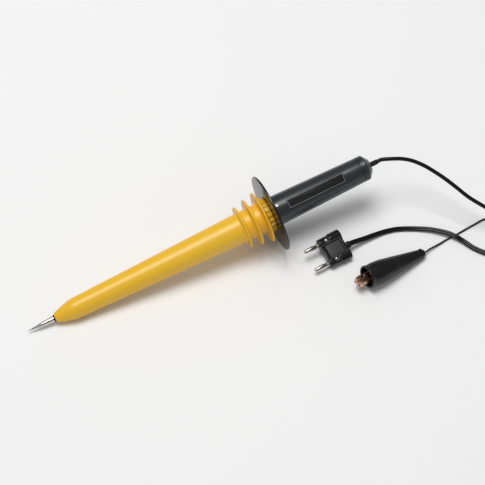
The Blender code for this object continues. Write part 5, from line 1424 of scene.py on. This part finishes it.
# ---------------------------------------------------------------- clip
@dataclass
class Clip:
    """The ground clip; X leads out along the jaws from the middle of the boot's mouth."""

    mouth: tuple = (0.1186, -0.0854)
    heading: float = math.radians(184.3)
    boot_length: float = 0.0640
    mouth_radius: float = 0.0104
    belly_radius: float = 0.0107
    belly_start: float = 0.0080
    belly_end: float = 0.0160
    tail_radius: float = 0.0042
    tail_taper: float = 0.0022
    wall: float = 0.0010
    tail_wall: float = 0.0020
    rim_width: float = 0.0013  # of the rounded rim at the mouth
    rim_length: float = 0.0021
    rim_proud: float = 0.0003
    lead: float = LEAD
    jaw_drop: float = 0.0019
    jaw_half_height: float = 0.0028
    jaw_sheet: float = 0.0007
    jaw_edge: float = 0.00012
    rivet_edge: float = 0.00015
    strip_half_width: float = 0.0022
    terminal_place: float = 0.0060
    terminal_head: float = 0.0020
    eyelet_radius: float = 0.0015
    eyelet_wall: float = 0.0006
    eyelet_roll: float = math.radians(22.0)
    eyelet_place: float = 0.0050  # in front of the tail's end
    eyelet_sunk: float = 0.0007
    eyelet_proud: float = 0.00055
    seam_height: float = 0.00024
    seam_start: float = 0.0033
    seam_end: float = 0.0030

    def __post_init__(self) -> None:
        """Work out the clip's frame."""
        fall = self.belly_radius - self.tail_radius
        run = self.boot_length - self.belly_end
        self.slope = fall / run
        self.pitch = math.atan2(fall, run)
        height = self.belly_radius * math.cos(self.pitch) + self.belly_end * math.sin(self.pitch)
        self.axis = at(*self.mouth, height) @ turn(0.0, -self.pitch, self.heading)

    def build(self) -> list[Piece]:
        """Build and dress every piece that shows.

        Returns:
            The pieces, at the end of the ground lead.
        """
        made = [self.build_boot(), self.build_eyelet()]
        fixed = merged_copy("fixed_jaw", "clip_fixed_jaw", self.jaw_edge)
        made.append(dress(fixed, Finishes.COPPER, "clip_fixed_jaw"))
        moving = merged_copy("moving_jaw", "clip_moving_jaw", self.jaw_edge)
        made.append(dress(moving, Finishes.COPPER, "clip_moving_jaw", body=Body.JAW))
        rivet = merged_copy("jaw_rivet", "clip_rivet", self.rivet_edge)
        made.append(dress(rivet, Finishes.STEEL, "clip_rivet"))
        return made

    def build_boot(self) -> Piece:
        """Build the soft boot, with a thick rim at its mouth and a round tail.

        Returns:
            The piece.
        """
        end, inner_end = -self.boot_length, self.tail_wall - self.boot_length
        hole = self.lead / 2.0 + SEAT / 2.0
        lip, proud = self.mouth_radius - self.rim_width, self.mouth_radius + self.rim_proud
        outer: list[Corner] = [
            (0.0, lip, 0.0007), (0.0, proud, 0.0009), (-self.rim_length, proud, 0.0008),
            (-self.rim_length - 0.0010, self.mouth_radius - 0.00030, 0.0010),
            (-self.belly_start, self.belly_radius, 0.0045), (-self.belly_end, self.belly_radius, 0.0045),
            (end + self.tail_taper, self.tail_radius + 0.0001, 0.0020),
            (end, self.tail_radius - 0.0012, 0.0012), (end, hole, 0.0003),
        ]
        belly = self.belly_radius - self.wall
        inner = [
            (inner_end, hole, 0.0), (inner_end, self.tail_radius - self.wall, 0.0),
            (-self.belly_end, belly, 0.0), (-self.belly_start, belly, 0.0),
            (-0.0032, self.mouth_radius - self.wall, 0.0006), (-0.0020, lip, 0.0006),
        ]
        shape = lathe(rounded(outer + inner, True, 8), self.axis, 128, hollow=True)
        self.raise_seam(shape)
        return dress(as_piece("clip_sleeve", shape, math.radians(50.0)), Finishes.BOOT, "clip_boot")

    def raise_seam(self, shape: Shape) -> None:
        """Raise the low line that the mould's halves leave along both sides of the boot.

        Args:
            shape: the boot's shape, which is changed.
        """
        back = self.axis.inverted()
        for vertex in shape.verts:
            local = back @ vertex.co
            surface = self.belly_radius - self.slope * max(0.0, -local.x - self.belly_end)
            along = self.seam_end - self.boot_length < local.x < -self.seam_start
            if along and abs(local.z) < SEAT / 10.0 and abs(local.y) > surface - self.wall / 2.0:
                local.y += math.copysign(self.seam_height, local.y)
                vertex.co = self.axis @ local

    def build_eyelet(self) -> Piece:
        """Build the moulded ring on top of the boot's tail.

        Returns:
            The piece.
        """
        radius = self.tail_radius + self.eyelet_place * math.tan(self.pitch)
        side = Matrix.Rotation(self.eyelet_roll, 4, "X")
        up = Matrix.Rotation(-math.pi / 2.0 - self.pitch, 4, "Y")
        place = self.axis @ at(-self.boot_length + self.eyelet_place, 0.0, 0.0) @ side @ up
        outside, inside = self.eyelet_radius, self.eyelet_radius - self.eyelet_wall
        low, high = radius - self.eyelet_sunk, radius + self.eyelet_proud
        ring = [(low, inside, 0.0), (high, inside, 0.0002), (high, outside, 0.0002), (low, outside, 0.0)]
        return dress(turned("boot_eyelet", ring, place, 48, True), Finishes.BOOT)

    def wire_end(self) -> list[Vector]:
        """Return the lead's points inside the boot, from the terminal out to the tail.

        Returns:
            The points.
        """
        inner_end = self.boot_length - self.tail_wall
        low, high = self.tail_radius - self.wall, self.belly_radius - self.wall
        corner = math.hypot(self.strip_half_width, self.jaw_drop + self.jaw_half_height) + SEAT
        share = (high - corner) / (high - low)
        strip = self.belly_end + share * (inner_end - self.belly_end)
        x = -strip + self.terminal_place - self.terminal_head - SEAT - self.lead / 2.0
        z = self.jaw_sheet - self.jaw_half_height - self.jaw_drop + SEAT + self.lead / 2.0
        local = [(x, 0.0, z), (x - 0.004, 0.0, z * 0.8), (-inner_end + 0.003, 0.0, 0.0)]
        return [self.axis @ Vector(point) for point in local]


# ---------------------------------------------------------------- cords
class Laying:
    """Curves on which the cords lie."""

    SAMPLES = 16  # between two chosen points

    @staticmethod
    def smooth(chosen: Sequence[Sequence[float]], samples: int = SAMPLES) -> list[Vector]:
        """Return a smooth curve through chosen points, densely sampled.

        Args:
            chosen: the points.
            samples: how many points lie between two of them.

        Returns:
            The curve's points.
        """
        points = [Vector(p) for p in chosen]
        padded = [points[0] * 2.0 - points[1], *points, points[-1] * 2.0 - points[-2]]
        made = []
        for index in range(1, len(padded) - 2):
            a, b, c, d = padded[index - 1 : index + 3]
            for step in range(samples):
                t = step / samples
                bend = 2.0 * a - 5.0 * b + 4.0 * c - d
                twist = 3.0 * b - a - 3.0 * c + d
                made.append(0.5 * (2.0 * b + (c - a) * t + bend * t ** 2 + twist * t ** 3))
        made.append(points[-1])
        return made

    @staticmethod
    def length(points: Sequence[Vector]) -> float:
        """Return the length of a line."""
        return sum((b - a).length for a, b in zip(points, points[1:]))

    @staticmethod
    def spaced(points: Sequence[Vector], step: float) -> list[Vector]:
        """Return the same line with evenly spaced points and both ends kept.

        Args:
            points: the line.
            step: about how far its points are to be apart.

        Returns:
            The new points.
        """
        total = Laying.length(points)
        count = max(2, round(total / step))
        made, walked, index = [points[0]], 0.0, 0
        for number in range(1, count):
            target = total * number / count
            while walked + (points[index + 1] - points[index]).length < target:
                walked += (points[index + 1] - points[index]).length
                index += 1
            span = points[index + 1] - points[index]
            made.append(points[index] + span * ((target - walked) / span.length))
        made.append(points[-1])
        return made

    @staticmethod
    def route(
        start: Vector, start_way: Vector, chosen: tuple, end: Vector, end_way: Vector, straight: float,
        step: float,
    ) -> list[Vector]:
        """Lay a free stretch through chosen points.

        Args:
            start: where the cord leaves.
            start_way: the direction in which it leaves.
            chosen: the points on its way.
            end: where it arrives.
            end_way: the direction in which it arrives.
            straight: how far it runs straight at both ends.
            step: the distance from point to point.

        Returns:
            The line.
        """
        first, last = start + start_way * straight, end - end_way * straight
        line = Laying.smooth([start, first, *chosen, last, end])
        return [start, *Laying.spaced(line[Laying.SAMPLES : -Laying.SAMPLES], step), end]

    @staticmethod
    def heading(points: Sequence[Vector], at_end: bool) -> Vector:
        """Return the level direction of a line at one of its ends.

        Args:
            points: the line.
            at_end: whether its last end is meant.

        Returns:
            The direction.
        """
        way = points[-1] - points[-2] if at_end else points[1] - points[0]
        way.z = 0.0
        return way.normalized()

    @staticmethod
    def sweep(points: Sequence[Vector], section: Sequence[Pair], rolls: Sequence[float] = ()) -> Shape:
        """Sweep a section along a line that is never upright.

        Args:
            points: the line.
            section: the section's points: sideways and upwards.
            rolls: how far the section is turned at each point; level if empty.

        Returns:
            The closed tube, with a UV map of metres along it and turns round it.
        """
        shape = bmesh.new()
        layer = shape.loops.layers.uv.new("along")
        rings, travelled = [], [0.0]
        for index, point in enumerate(points):
            way = (points[min(index + 1, len(points) - 1)] - points[max(index - 1, 0)]).normalized()
            side = way.cross(Vector((0.0, 0.0, 1.0))).normalized()
            up = side.cross(way)
            roll = rolls[index] if rolls else 0.0
            u = side * math.cos(roll) + up * math.sin(roll)
            v = up * math.cos(roll) - side * math.sin(roll)
            rings.append([shape.verts.new(point + u * x + v * y) for x, y in section])
            if index:
                travelled.append(travelled[-1] + (point - points[index - 1]).length)
        sides = len(section)
        for row in range(len(rings) - 1):
            for i in range(sides):
                j = (i + 1) % sides
                face = shape.faces.new([rings[row][i], rings[row][j], rings[row + 1][j], rings[row + 1][i]])
                turns = (i / sides, (i + 1) / sides, (i + 1) / sides, i / sides)
                for loop, part, at_row in zip(face.loops, turns, (row, row, row + 1, row + 1)):
                    loop[layer].uv = (travelled[at_row], part)
        shape.faces.new(rings[0])
        shape.faces.new(rings[-1])
        bmesh.ops.recalc_face_normals(shape, faces=shape.faces)
        return shape


def twin_section(width: float, height: float, points: int = 14) -> list[Pair]:
    """Return the section of a twin cable: two round cores that share a waist.

    Args:
        width: width across both cores.
        height: height of one core.
        points: points to a core.

    Returns:
        The section's points: sideways and upwards.
    """
    radius, centre = height / 2.0, (width - height) / 2.0
    open_angle = math.acos(-centre / radius) * 0.96  # just short of where the two cores meet
    made = []
    for side in (1.0, -1.0):
        for index in range(points):
            angle = -open_angle + 2.0 * open_angle * index / (points - 1)
            made.append((side * (centre + radius * math.cos(angle)), side * radius * math.sin(angle)))
    return made


@dataclass(frozen=True)
class Coil:
    """Turns of a cord on the floor, spiralling in below and out above, and the tie round them."""

    diameter: float  # of the cord
    centre: Pair
    radius: float  # of the outermost turn
    entry: float  # angle at which the cord comes in
    turns: float
    way: float  # +1 for anticlockwise seen from above, -1 for clockwise
    tie_angle: float
    tie_width: float
    tie_thickness: float = 0.0008
    play: float = 0.0006  # clear space between the turns
    climb: float = 0.5  # turns over which the coil climbs to its upper layer
    turn_points: int = 48  # points to a turn
    bend_points: int = 14  # from the last turn to the coil's end
    head_sunk: float = 0.0003  # how deep the tie's head sits in its strap
    head_half_length: float = 0.55  # this and the next three are shares of the tie's width
    head_half_width: float = 0.62
    head_height: float = 0.45
    rib_half_width: float = 0.36
    strap_corner: float = 1.2  # how far the strap's corners are rounded, in radii of its cord
    rib_pitch: float = 0.0005
    rib_half: float = 0.00010
    rib_height: float = 0.00012

    def layers(self) -> Pair:
        """Return the height of the lower layer's centreline, and that of the upper one above it."""
        return self.tie_thickness + SEAT + self.diameter / 2.0, self.diameter + self.play

    def loops(self) -> list[Vector]:
        """Return the turns' line: in below, up at the turning point and out above.

        Returns:
            The line.
        """
        low, pitch = self.layers()
        count = round(self.turns * self.turn_points)
        made = []
        for index in range(count + 1):
            done = self.turns * index / count
            angle = self.entry + self.way * 2.0 * math.pi * done
            r = self.radius - pitch * min(done, self.turns - done)
            climb = min(1.0, max(0.0, (done - self.turns / 2.0) / self.climb + 0.5))
            x, y = self.centre[0] + r * math.cos(angle), self.centre[1] + r * math.sin(angle)
            made.append(Vector((x, y, low + pitch * climb)))
        return made

    def lay(self, end: Vector, end_way: Vector) -> tuple[list[Vector], Vector]:
        """Lay the turns with a straight start, an easy bend and a straight finish.

        Args:
            end: where the cord arrives after the coil.
            end_way: the direction in which it arrives.

        Returns:
            The line, and the direction in which the cord comes in.
        """
        line = self.loops()
        first_way, last_way = Laying.heading(line, False), Laying.heading(line, True)
        target = end - end_way * self.diameter
        pull = (target - line[-1]).length
        bend = []
        for step in range(1, self.bend_points):
            t = step / self.bend_points
            a, b = 2 * t ** 3 - 3 * t ** 2 + 1, t ** 3 - 2 * t ** 2 + t
            c, d = 3 * t ** 2 - 2 * t ** 3, t ** 3 - t ** 2
            bend.append(line[-1] * a + last_way * (pull * b) + target * c + end_way * (pull * d))
        return [line[0] - first_way * self.diameter, *line, *bend, target, end], first_way

    def build_tie(self, name: str, node: str) -> list[Piece]:
        """Build the strap round the coil, with its locking head and its fine ribs.

        Args:
            name: the strap's name.
            node: the model's node that it replaces.

        Returns:
            The strap and its ribs.
        """
        low, pitch = self.layers()
        width, thickness = self.tie_width, self.tie_thickness
        inner = self.radius - pitch * self.turns / 2.0
        half_width = (self.radius - inner + self.diameter) / 2.0 + SEAT
        half_height = (pitch + self.diameter) / 2.0 + SEAT
        middle, angle = (inner + self.radius) / 2.0, self.tie_angle
        x, y = self.centre[0] + middle * math.cos(angle), self.centre[1] + middle * math.sin(angle)
        place = at(x, y, low + pitch / 2.0) @ turn(math.pi / 2.0, 0.0, angle)
        shapes = []
        for grow, reach, edge in ((thickness, width / 2.0, 0.0001), (0.0, width / 2.0 + 0.001, 0.0)):
            trim = (self.diameter / 2.0 + grow) * self.strap_corner
            outline = rounded(rectangle(half_width + grow, half_height + grow, trim), True, 8)
            shapes.append(prism(outline, -reach, reach, place, edge))
        piece = as_piece(name, shapes[0])
        combine(piece, [shapes[1]], "DIFFERENCE")
        top = half_height + thickness
        head_x, head_z = width * self.head_half_length, width * self.head_half_width
        head_top = top + width * self.head_height
        head = block((-head_x, top - self.head_sunk, -head_z), (head_x, head_top, head_z), place, 0.0003)
        combine(piece, [head], "UNION")
        dress(piece, Finishes.CORD, node)
        rib_z = width * self.rib_half_width
        rib = block((-self.rib_half, 0.0, -rib_z), (self.rib_half, self.rib_height, rib_z), HERE)
        start = head_x + 0.0003
        count = max(2, int((half_width - self.diameter / 2.0 - start) / self.rib_pitch))
        row = Repeat(Layout.ROW, count, self.rib_pitch)
        ribs = row.of(f"{name}_ribs", rib, Finishes.CORD, place @ at(start, top, 0.0))
        return [piece, dress(ribs, Finishes.CORD)]


@dataclass
class Cords:
    """The cable, its parting block, the plug's twin cable, the ground lead, and both coils."""

    probe: Probe
    plug: Plug
    clip: Clip
    cable_coil: Coil = Coil(
        diameter=0.0037, centre=(0.2935, -0.1286), radius=0.0257, entry=math.radians(75.0), turns=4.5833,
        way=-1.0, tie_angle=math.radians(-10.0), tie_width=0.0040,
    )
    lead_coil: Coil = Coil(
        diameter=LEAD, centre=(0.2602, -0.0985), radius=0.0131, entry=math.radians(155.0), turns=8.125,
        way=1.0, tie_angle=math.radians(5.0), tie_width=0.0020,
    )
    yoke_place: tuple = (0.2594, -0.1312)
    yoke_heading: float = math.radians(135.0)
    yoke_length: float = 0.0180
    yoke_front: float = 0.0130
    yoke_rear: float = 0.0080
    yoke_height: float = 0.0086
    yoke_edge: float = 0.0022
    lead_offset: float = 0.0042
    twin_offset: float = 0.0023
    twin_turn: float = 0.063  # length over which the twin cable turns level
    cable_route: tuple = (
        (0.1881, -0.0044, 0.0518), (0.1957, -0.0078, 0.0512), (0.2033, -0.0130, 0.0500),
        (0.2105, -0.0210, 0.0484), (0.2164, -0.0295, 0.0463), (0.2225, -0.0394, 0.0436),
        (0.2284, -0.0498, 0.0401), (0.2351, -0.0611, 0.0352), (0.2440, -0.0702, 0.0290),
        (0.2545, -0.0768, 0.0205), (0.2660, -0.0835, 0.0115), (0.2765, -0.0918, 0.0045),
    )
    twin_route: tuple = (
        (0.1315, -0.0441, 0.0067), (0.1410, -0.0436, 0.0045), (0.1565, -0.0433, 0.0024),
        (0.1669, -0.0444, 0.0018), (0.1761, -0.0469, 0.0017), (0.1886, -0.0528, 0.0020),
        (0.2003, -0.0602, 0.0030), (0.2107, -0.0697, 0.0042), (0.2165, -0.0768, 0.0042),
        (0.2215, -0.0850, 0.0030), (0.2262, -0.0945, 0.0021), (0.2330, -0.1040, 0.0021),
        (0.2420, -0.1140, 0.0026),
    )
    lead_route: tuple = (
        (0.1892, -0.0789, 0.0030), (0.2014, -0.0770, 0.0016), (0.2098, -0.0756, 0.00115),
        (0.2185, -0.0750, 0.00115), (0.2279, -0.0738, 0.00115), (0.2400, -0.0724, 0.00115),
        (0.2505, -0.0712, 0.00115), (0.2545, -0.0722, 0.00115), (0.2560, -0.0752, 0.00115),
        (0.2540, -0.0800, 0.00120),
    )

    def __post_init__(self) -> None:
        """Work out the parting block's frame and its three openings."""
        self.facing = Vector((math.cos(self.yoke_heading), math.sin(self.yoke_heading), 0.0))
        across = Vector((-self.facing.y, self.facing.x, 0.0))
        middle = Vector((*self.yoke_place, self.yoke_height / 2.0))
        reach = self.facing * (self.yoke_length / 2.0 + SEAT)
        self.yoke_in = middle - reach
        self.twin_out = middle + reach + across * self.twin_offset
        self.lead_out = middle + reach - across * self.lead_offset
        self.yoke_frame = Matrix.Translation(middle) @ Matrix.Rotation(self.yoke_heading, 4, "Z")

    def build(self, plug_pieces: list, clip_pieces: list) -> None:
        """Build and dress every cord.

        Args:
            plug_pieces: the pieces on the end of the twin cable; not used.
            clip_pieces: the pieces on the end of the ground lead; not used.
        """
        yoke = self.build_yoke()
        self.build_cable()
        self.build_twin()
        self.build_lead()

    def build_yoke(self) -> Piece:
        """Build the moulded block where the cable parts.

        Returns:
            The piece.
        """
        half, height = self.yoke_length / 2.0, self.yoke_height / 2.0
        rear, front = self.yoke_rear / 2.0, self.yoke_front / 2.0
        corners = [
            (-half, -rear, 0.0016), (half, -front, 0.0030), (half, front, 0.0030), (-half, rear, 0.0016),
        ]
        shape = prism(rounded(corners, True), -height, height, self.yoke_frame, self.yoke_edge)
        return dress(as_piece("parting_block", shape), Finishes.PLUG, "breakout_yoke")

    def build_cable(self) -> None:
        """Build the round cable from the handle to the parting block, with its coil and tie.
        """
        d = self.cable_coil.diameter
        coil, into = self.cable_coil.lay(self.yoke_in, self.facing)
        start, way = self.probe.exit, self.probe.along
        line = Laying.route(start, way, self.cable_route, coil[0] - into * SEAT, into, d, d * 0.5) + coil
        piece = as_piece("output_cable", Laying.sweep(line, circle(d / 2.0, 24)), SMOOTH)
        dress(piece, Finishes.CORD, "handle_cable", "handle_cable_coil")
        tie = self.cable_coil.build_tie("cable_strap", "cable_tie")
        round(Laying.length(line), 3)

    def build_twin(self) -> None:
        """Build the flat twin cable from the parting block to the plug.
        """
        plug, height = self.plug, self.plug.cable_height
        start = plug.axis @ Vector((plug.relief_rear - SEAT, plug.relief_offset, 0.0))
        frame_turn = plug.axis.to_3x3()
        way, side = -(frame_turn @ Vector((1.0, 0.0, 0.0))), frame_turn @ Vector((0.0, 1.0, 0.0))
        line = Laying.route(start, way, self.twin_route, self.twin_out, -self.facing, height, height * 0.4)
        level = way.cross(Vector((0.0, 0.0, 1.0))).normalized()
        roll = math.atan2(side.dot(level.cross(way)), side.dot(level))
        if abs(roll) > math.pi / 2.0:
            roll -= math.copysign(math.pi, roll)
        rolls, walked = [], 0.0
        for index, point in enumerate(line):
            walked += (point - line[max(0, index - 1)]).length
            share = max(0.0, 1.0 - walked / self.twin_turn)
            rolls.append(roll * share * share * (3.0 - 2.0 * share))
        shape = Laying.sweep(line, twin_section(plug.cable_width, height), rolls)
        piece = dress(as_piece("twin_cable", shape, math.radians(30.0)), Finishes.CORD, "plug_cable")
        round(Laying.length(line), 3)

    def build_lead(self) -> None:
        """Build the thin lead from the parting block to the clip, with its coil and tie.
        """
        d = self.lead_coil.diameter
        coil, into = self.lead_coil.lay(self.lead_out, -self.facing)
        tail = self.clip.axis @ Vector((-self.clip.boot_length - SEAT, 0.0, 0.0))
        way = -(self.clip.axis.to_3x3() @ Vector((1.0, 0.0, 0.0)))
        free = Laying.route(tail, way, self.lead_route, coil[0] - into * SEAT, into, d, d * 0.6)
        line = Laying.smooth([*self.clip.wire_end(), tail], 6)[:-1] + free + coil
        piece = as_piece("thin_lead", Laying.sweep(line, circle(d / 2.0, 16)), SMOOTH)
        dress(piece, Finishes.CORD, "ground_lead", "ground_lead_coil", "clip_wire")
        tie = self.lead_coil.build_tie("lead_strap", "lead_tie")
        round(Laying.length(line), 3)


# ---------------------------------------------------------------- inner pieces
class Inside:
    """The solids that keep the model's own shape."""

    FINISHES = {
        Finishes.STEEL: ("contact_spring", "clip_spring", "clip_terminal_screw"),
        Finishes.BRASS: ("resistor_front_cap", "resistor_rear_cap"),
        Finishes.CERAMIC: ("hv_resistor", "divider_resistor"),
        Finishes.WHITE: ("resistor_spacer_front", "resistor_spacer_rear", "coupling_stub"),
        Finishes.BOARD: ("divider_board",),
        Finishes.BLUE: ("calibration_trimmer",),
        Finishes.RED: ("hv_wire", "signal_wire"),
        Finishes.CORD: ("shield_wire",),
    }

    def dress(self) -> None:
        """Give each solid its finish."""
        for finish, names in self.FINISHES.items():
            for name in names:
                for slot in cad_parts[name].material_slots:
                    slot.link = "OBJECT"
                    slot.material = finish.material()
                LOG.info("%s keeps its solid, %s", name, finish.name)


# ---------------------------------------------------------------- studio
@dataclass
class Studio:
    """The floor, the lamp, the surroundings and the camera."""

    azimuth: float = math.radians(-25.80)
    elevation: float = math.radians(56.54)
    distance: float = 1.2
    focal_pixels: float = 1301.2
    image_pixels: float = 485.0
    sensor: float = 36.0
    target: tuple = (0.0385, 0.0041, 0.0)
    floor_size: float = 8.0
    floor_colour: Colour = (0.90, 0.90, 0.90)
    floor_shade: float = 0.985  # the darker spots' share of that colour
    backdrop: float = 0.90
    mirrored: float = 0.16  # the backdrop's level in reflections
    fill: float = 0.36
    key_power: float = 47.0
    key_size: float = 1.35
    key_distance: float = 2.6
    key_way: tuple = (-0.10, 0.14, 1.0)

    def build(self) -> None:
        """Build everything round the object."""
        self.build_camera()
        self.build_floor()
        self.build_world()
        self.build_key()
        bpy.context.scene.view_settings.view_transform = "Standard"

    def stand(self, thing: Piece, way: Vector, distance: float, track: str) -> None:
        """Stand a camera or lamp off the target and turn it.

        Args:
            thing: the camera or lamp.
            way: the direction from the target.
            distance: how far off it stands.
            track: the axis that is turned to that direction.
        """
        thing.location = Vector(self.target) + way * distance
        thing.rotation_mode = "QUATERNION"
        thing.rotation_quaternion = way.to_track_quat(track, "Y")

    def build_camera(self) -> None:
        """Build the camera at the photograph's angle."""
        flat = math.cos(self.elevation)
        back = (math.sin(self.azimuth) * flat, -math.cos(self.azimuth) * flat, math.sin(self.elevation))
        data = bpy.data.cameras.new("camera")
        data.sensor_width = self.sensor
        data.lens = self.sensor * self.focal_pixels / self.image_pixels
        data.clip_start, data.clip_end = 0.05, 50.0
        camera = show("camera", data)
        self.stand(camera, Vector(back), self.distance, "Z")
        bpy.context.scene.camera = camera

    def build_floor(self) -> None:
        """Build the pale floor, which keeps the shadows."""
        half = self.floor_size / 2.0
        shape = bmesh.new()
        shape.faces.new([shape.verts.new((x, y, 0.0)) for x, y, _ in rectangle(half, half, 0.0)])
        floor = as_piece("floor", shape)
        material = bpy.data.materials.new("pale_floor")
        material.use_nodes = True
        graph = Graph(material.node_tree)
        place = graph.node("ShaderNodeTexCoord", output="Object")
        shade = tuple(c * self.floor_shade for c in self.floor_colour)
        tone = graph.mix(shade, self.floor_colour, graph.noise(place, 3.0))
        inputs = material.node_tree.nodes["Principled BSDF"].inputs
        material.node_tree.links.new(tone.socket, inputs["Base Color"])
        inputs["Roughness"].default_value = 0.9
        inputs["Specular IOR Level"].default_value = 0.1
        floor.data.materials.append(material)

    def build_world(self) -> None:
        """Build the surroundings: pale to the eye, darker in reflections, a soft fill elsewhere."""
        world = bpy.data.worlds.new("studio")
        world.use_nodes = True
        bpy.context.scene.world = world
        graph = Graph(world.node_tree)
        rays = graph.node("ShaderNodeLightPath").socket.node.outputs
        seen = Wire(graph, rays["Is Camera Ray"]).greatest(Wire(graph, rays["Is Transmission Ray"]))
        glossy = Wire(graph, rays["Is Glossy Ray"])
        strength = self.fill + seen * (self.backdrop - self.fill) + glossy * (self.mirrored - self.fill)
        background = world.node_tree.nodes["Background"]
        background.inputs["Color"].default_value = (1.0, 1.0, 1.0, 1.0)
        world.node_tree.links.new(strength.socket, background.inputs["Strength"])

    def build_key(self) -> None:
        """Build the large lamp above and behind the object."""
        data = bpy.data.lights.new("key", "AREA")
        data.shape = "SQUARE"
        data.size = self.key_size
        data.energy = self.key_power
        self.stand(show("key", data), Vector(self.key_way).normalized(), self.key_distance, "Z")


def main() -> None:
    """Build the object and its studio."""
    logging.basicConfig(level=logging.INFO, format="%(name)s: %(message)s")
    Studio().build()
    probe, plug, clip = Probe(), Plug(), Clip()
    probe.build()
    Cords(probe, plug, clip).build(plug.build(), clip.build())
    Inside().dress()


if __name__ == "__main__":
    main()
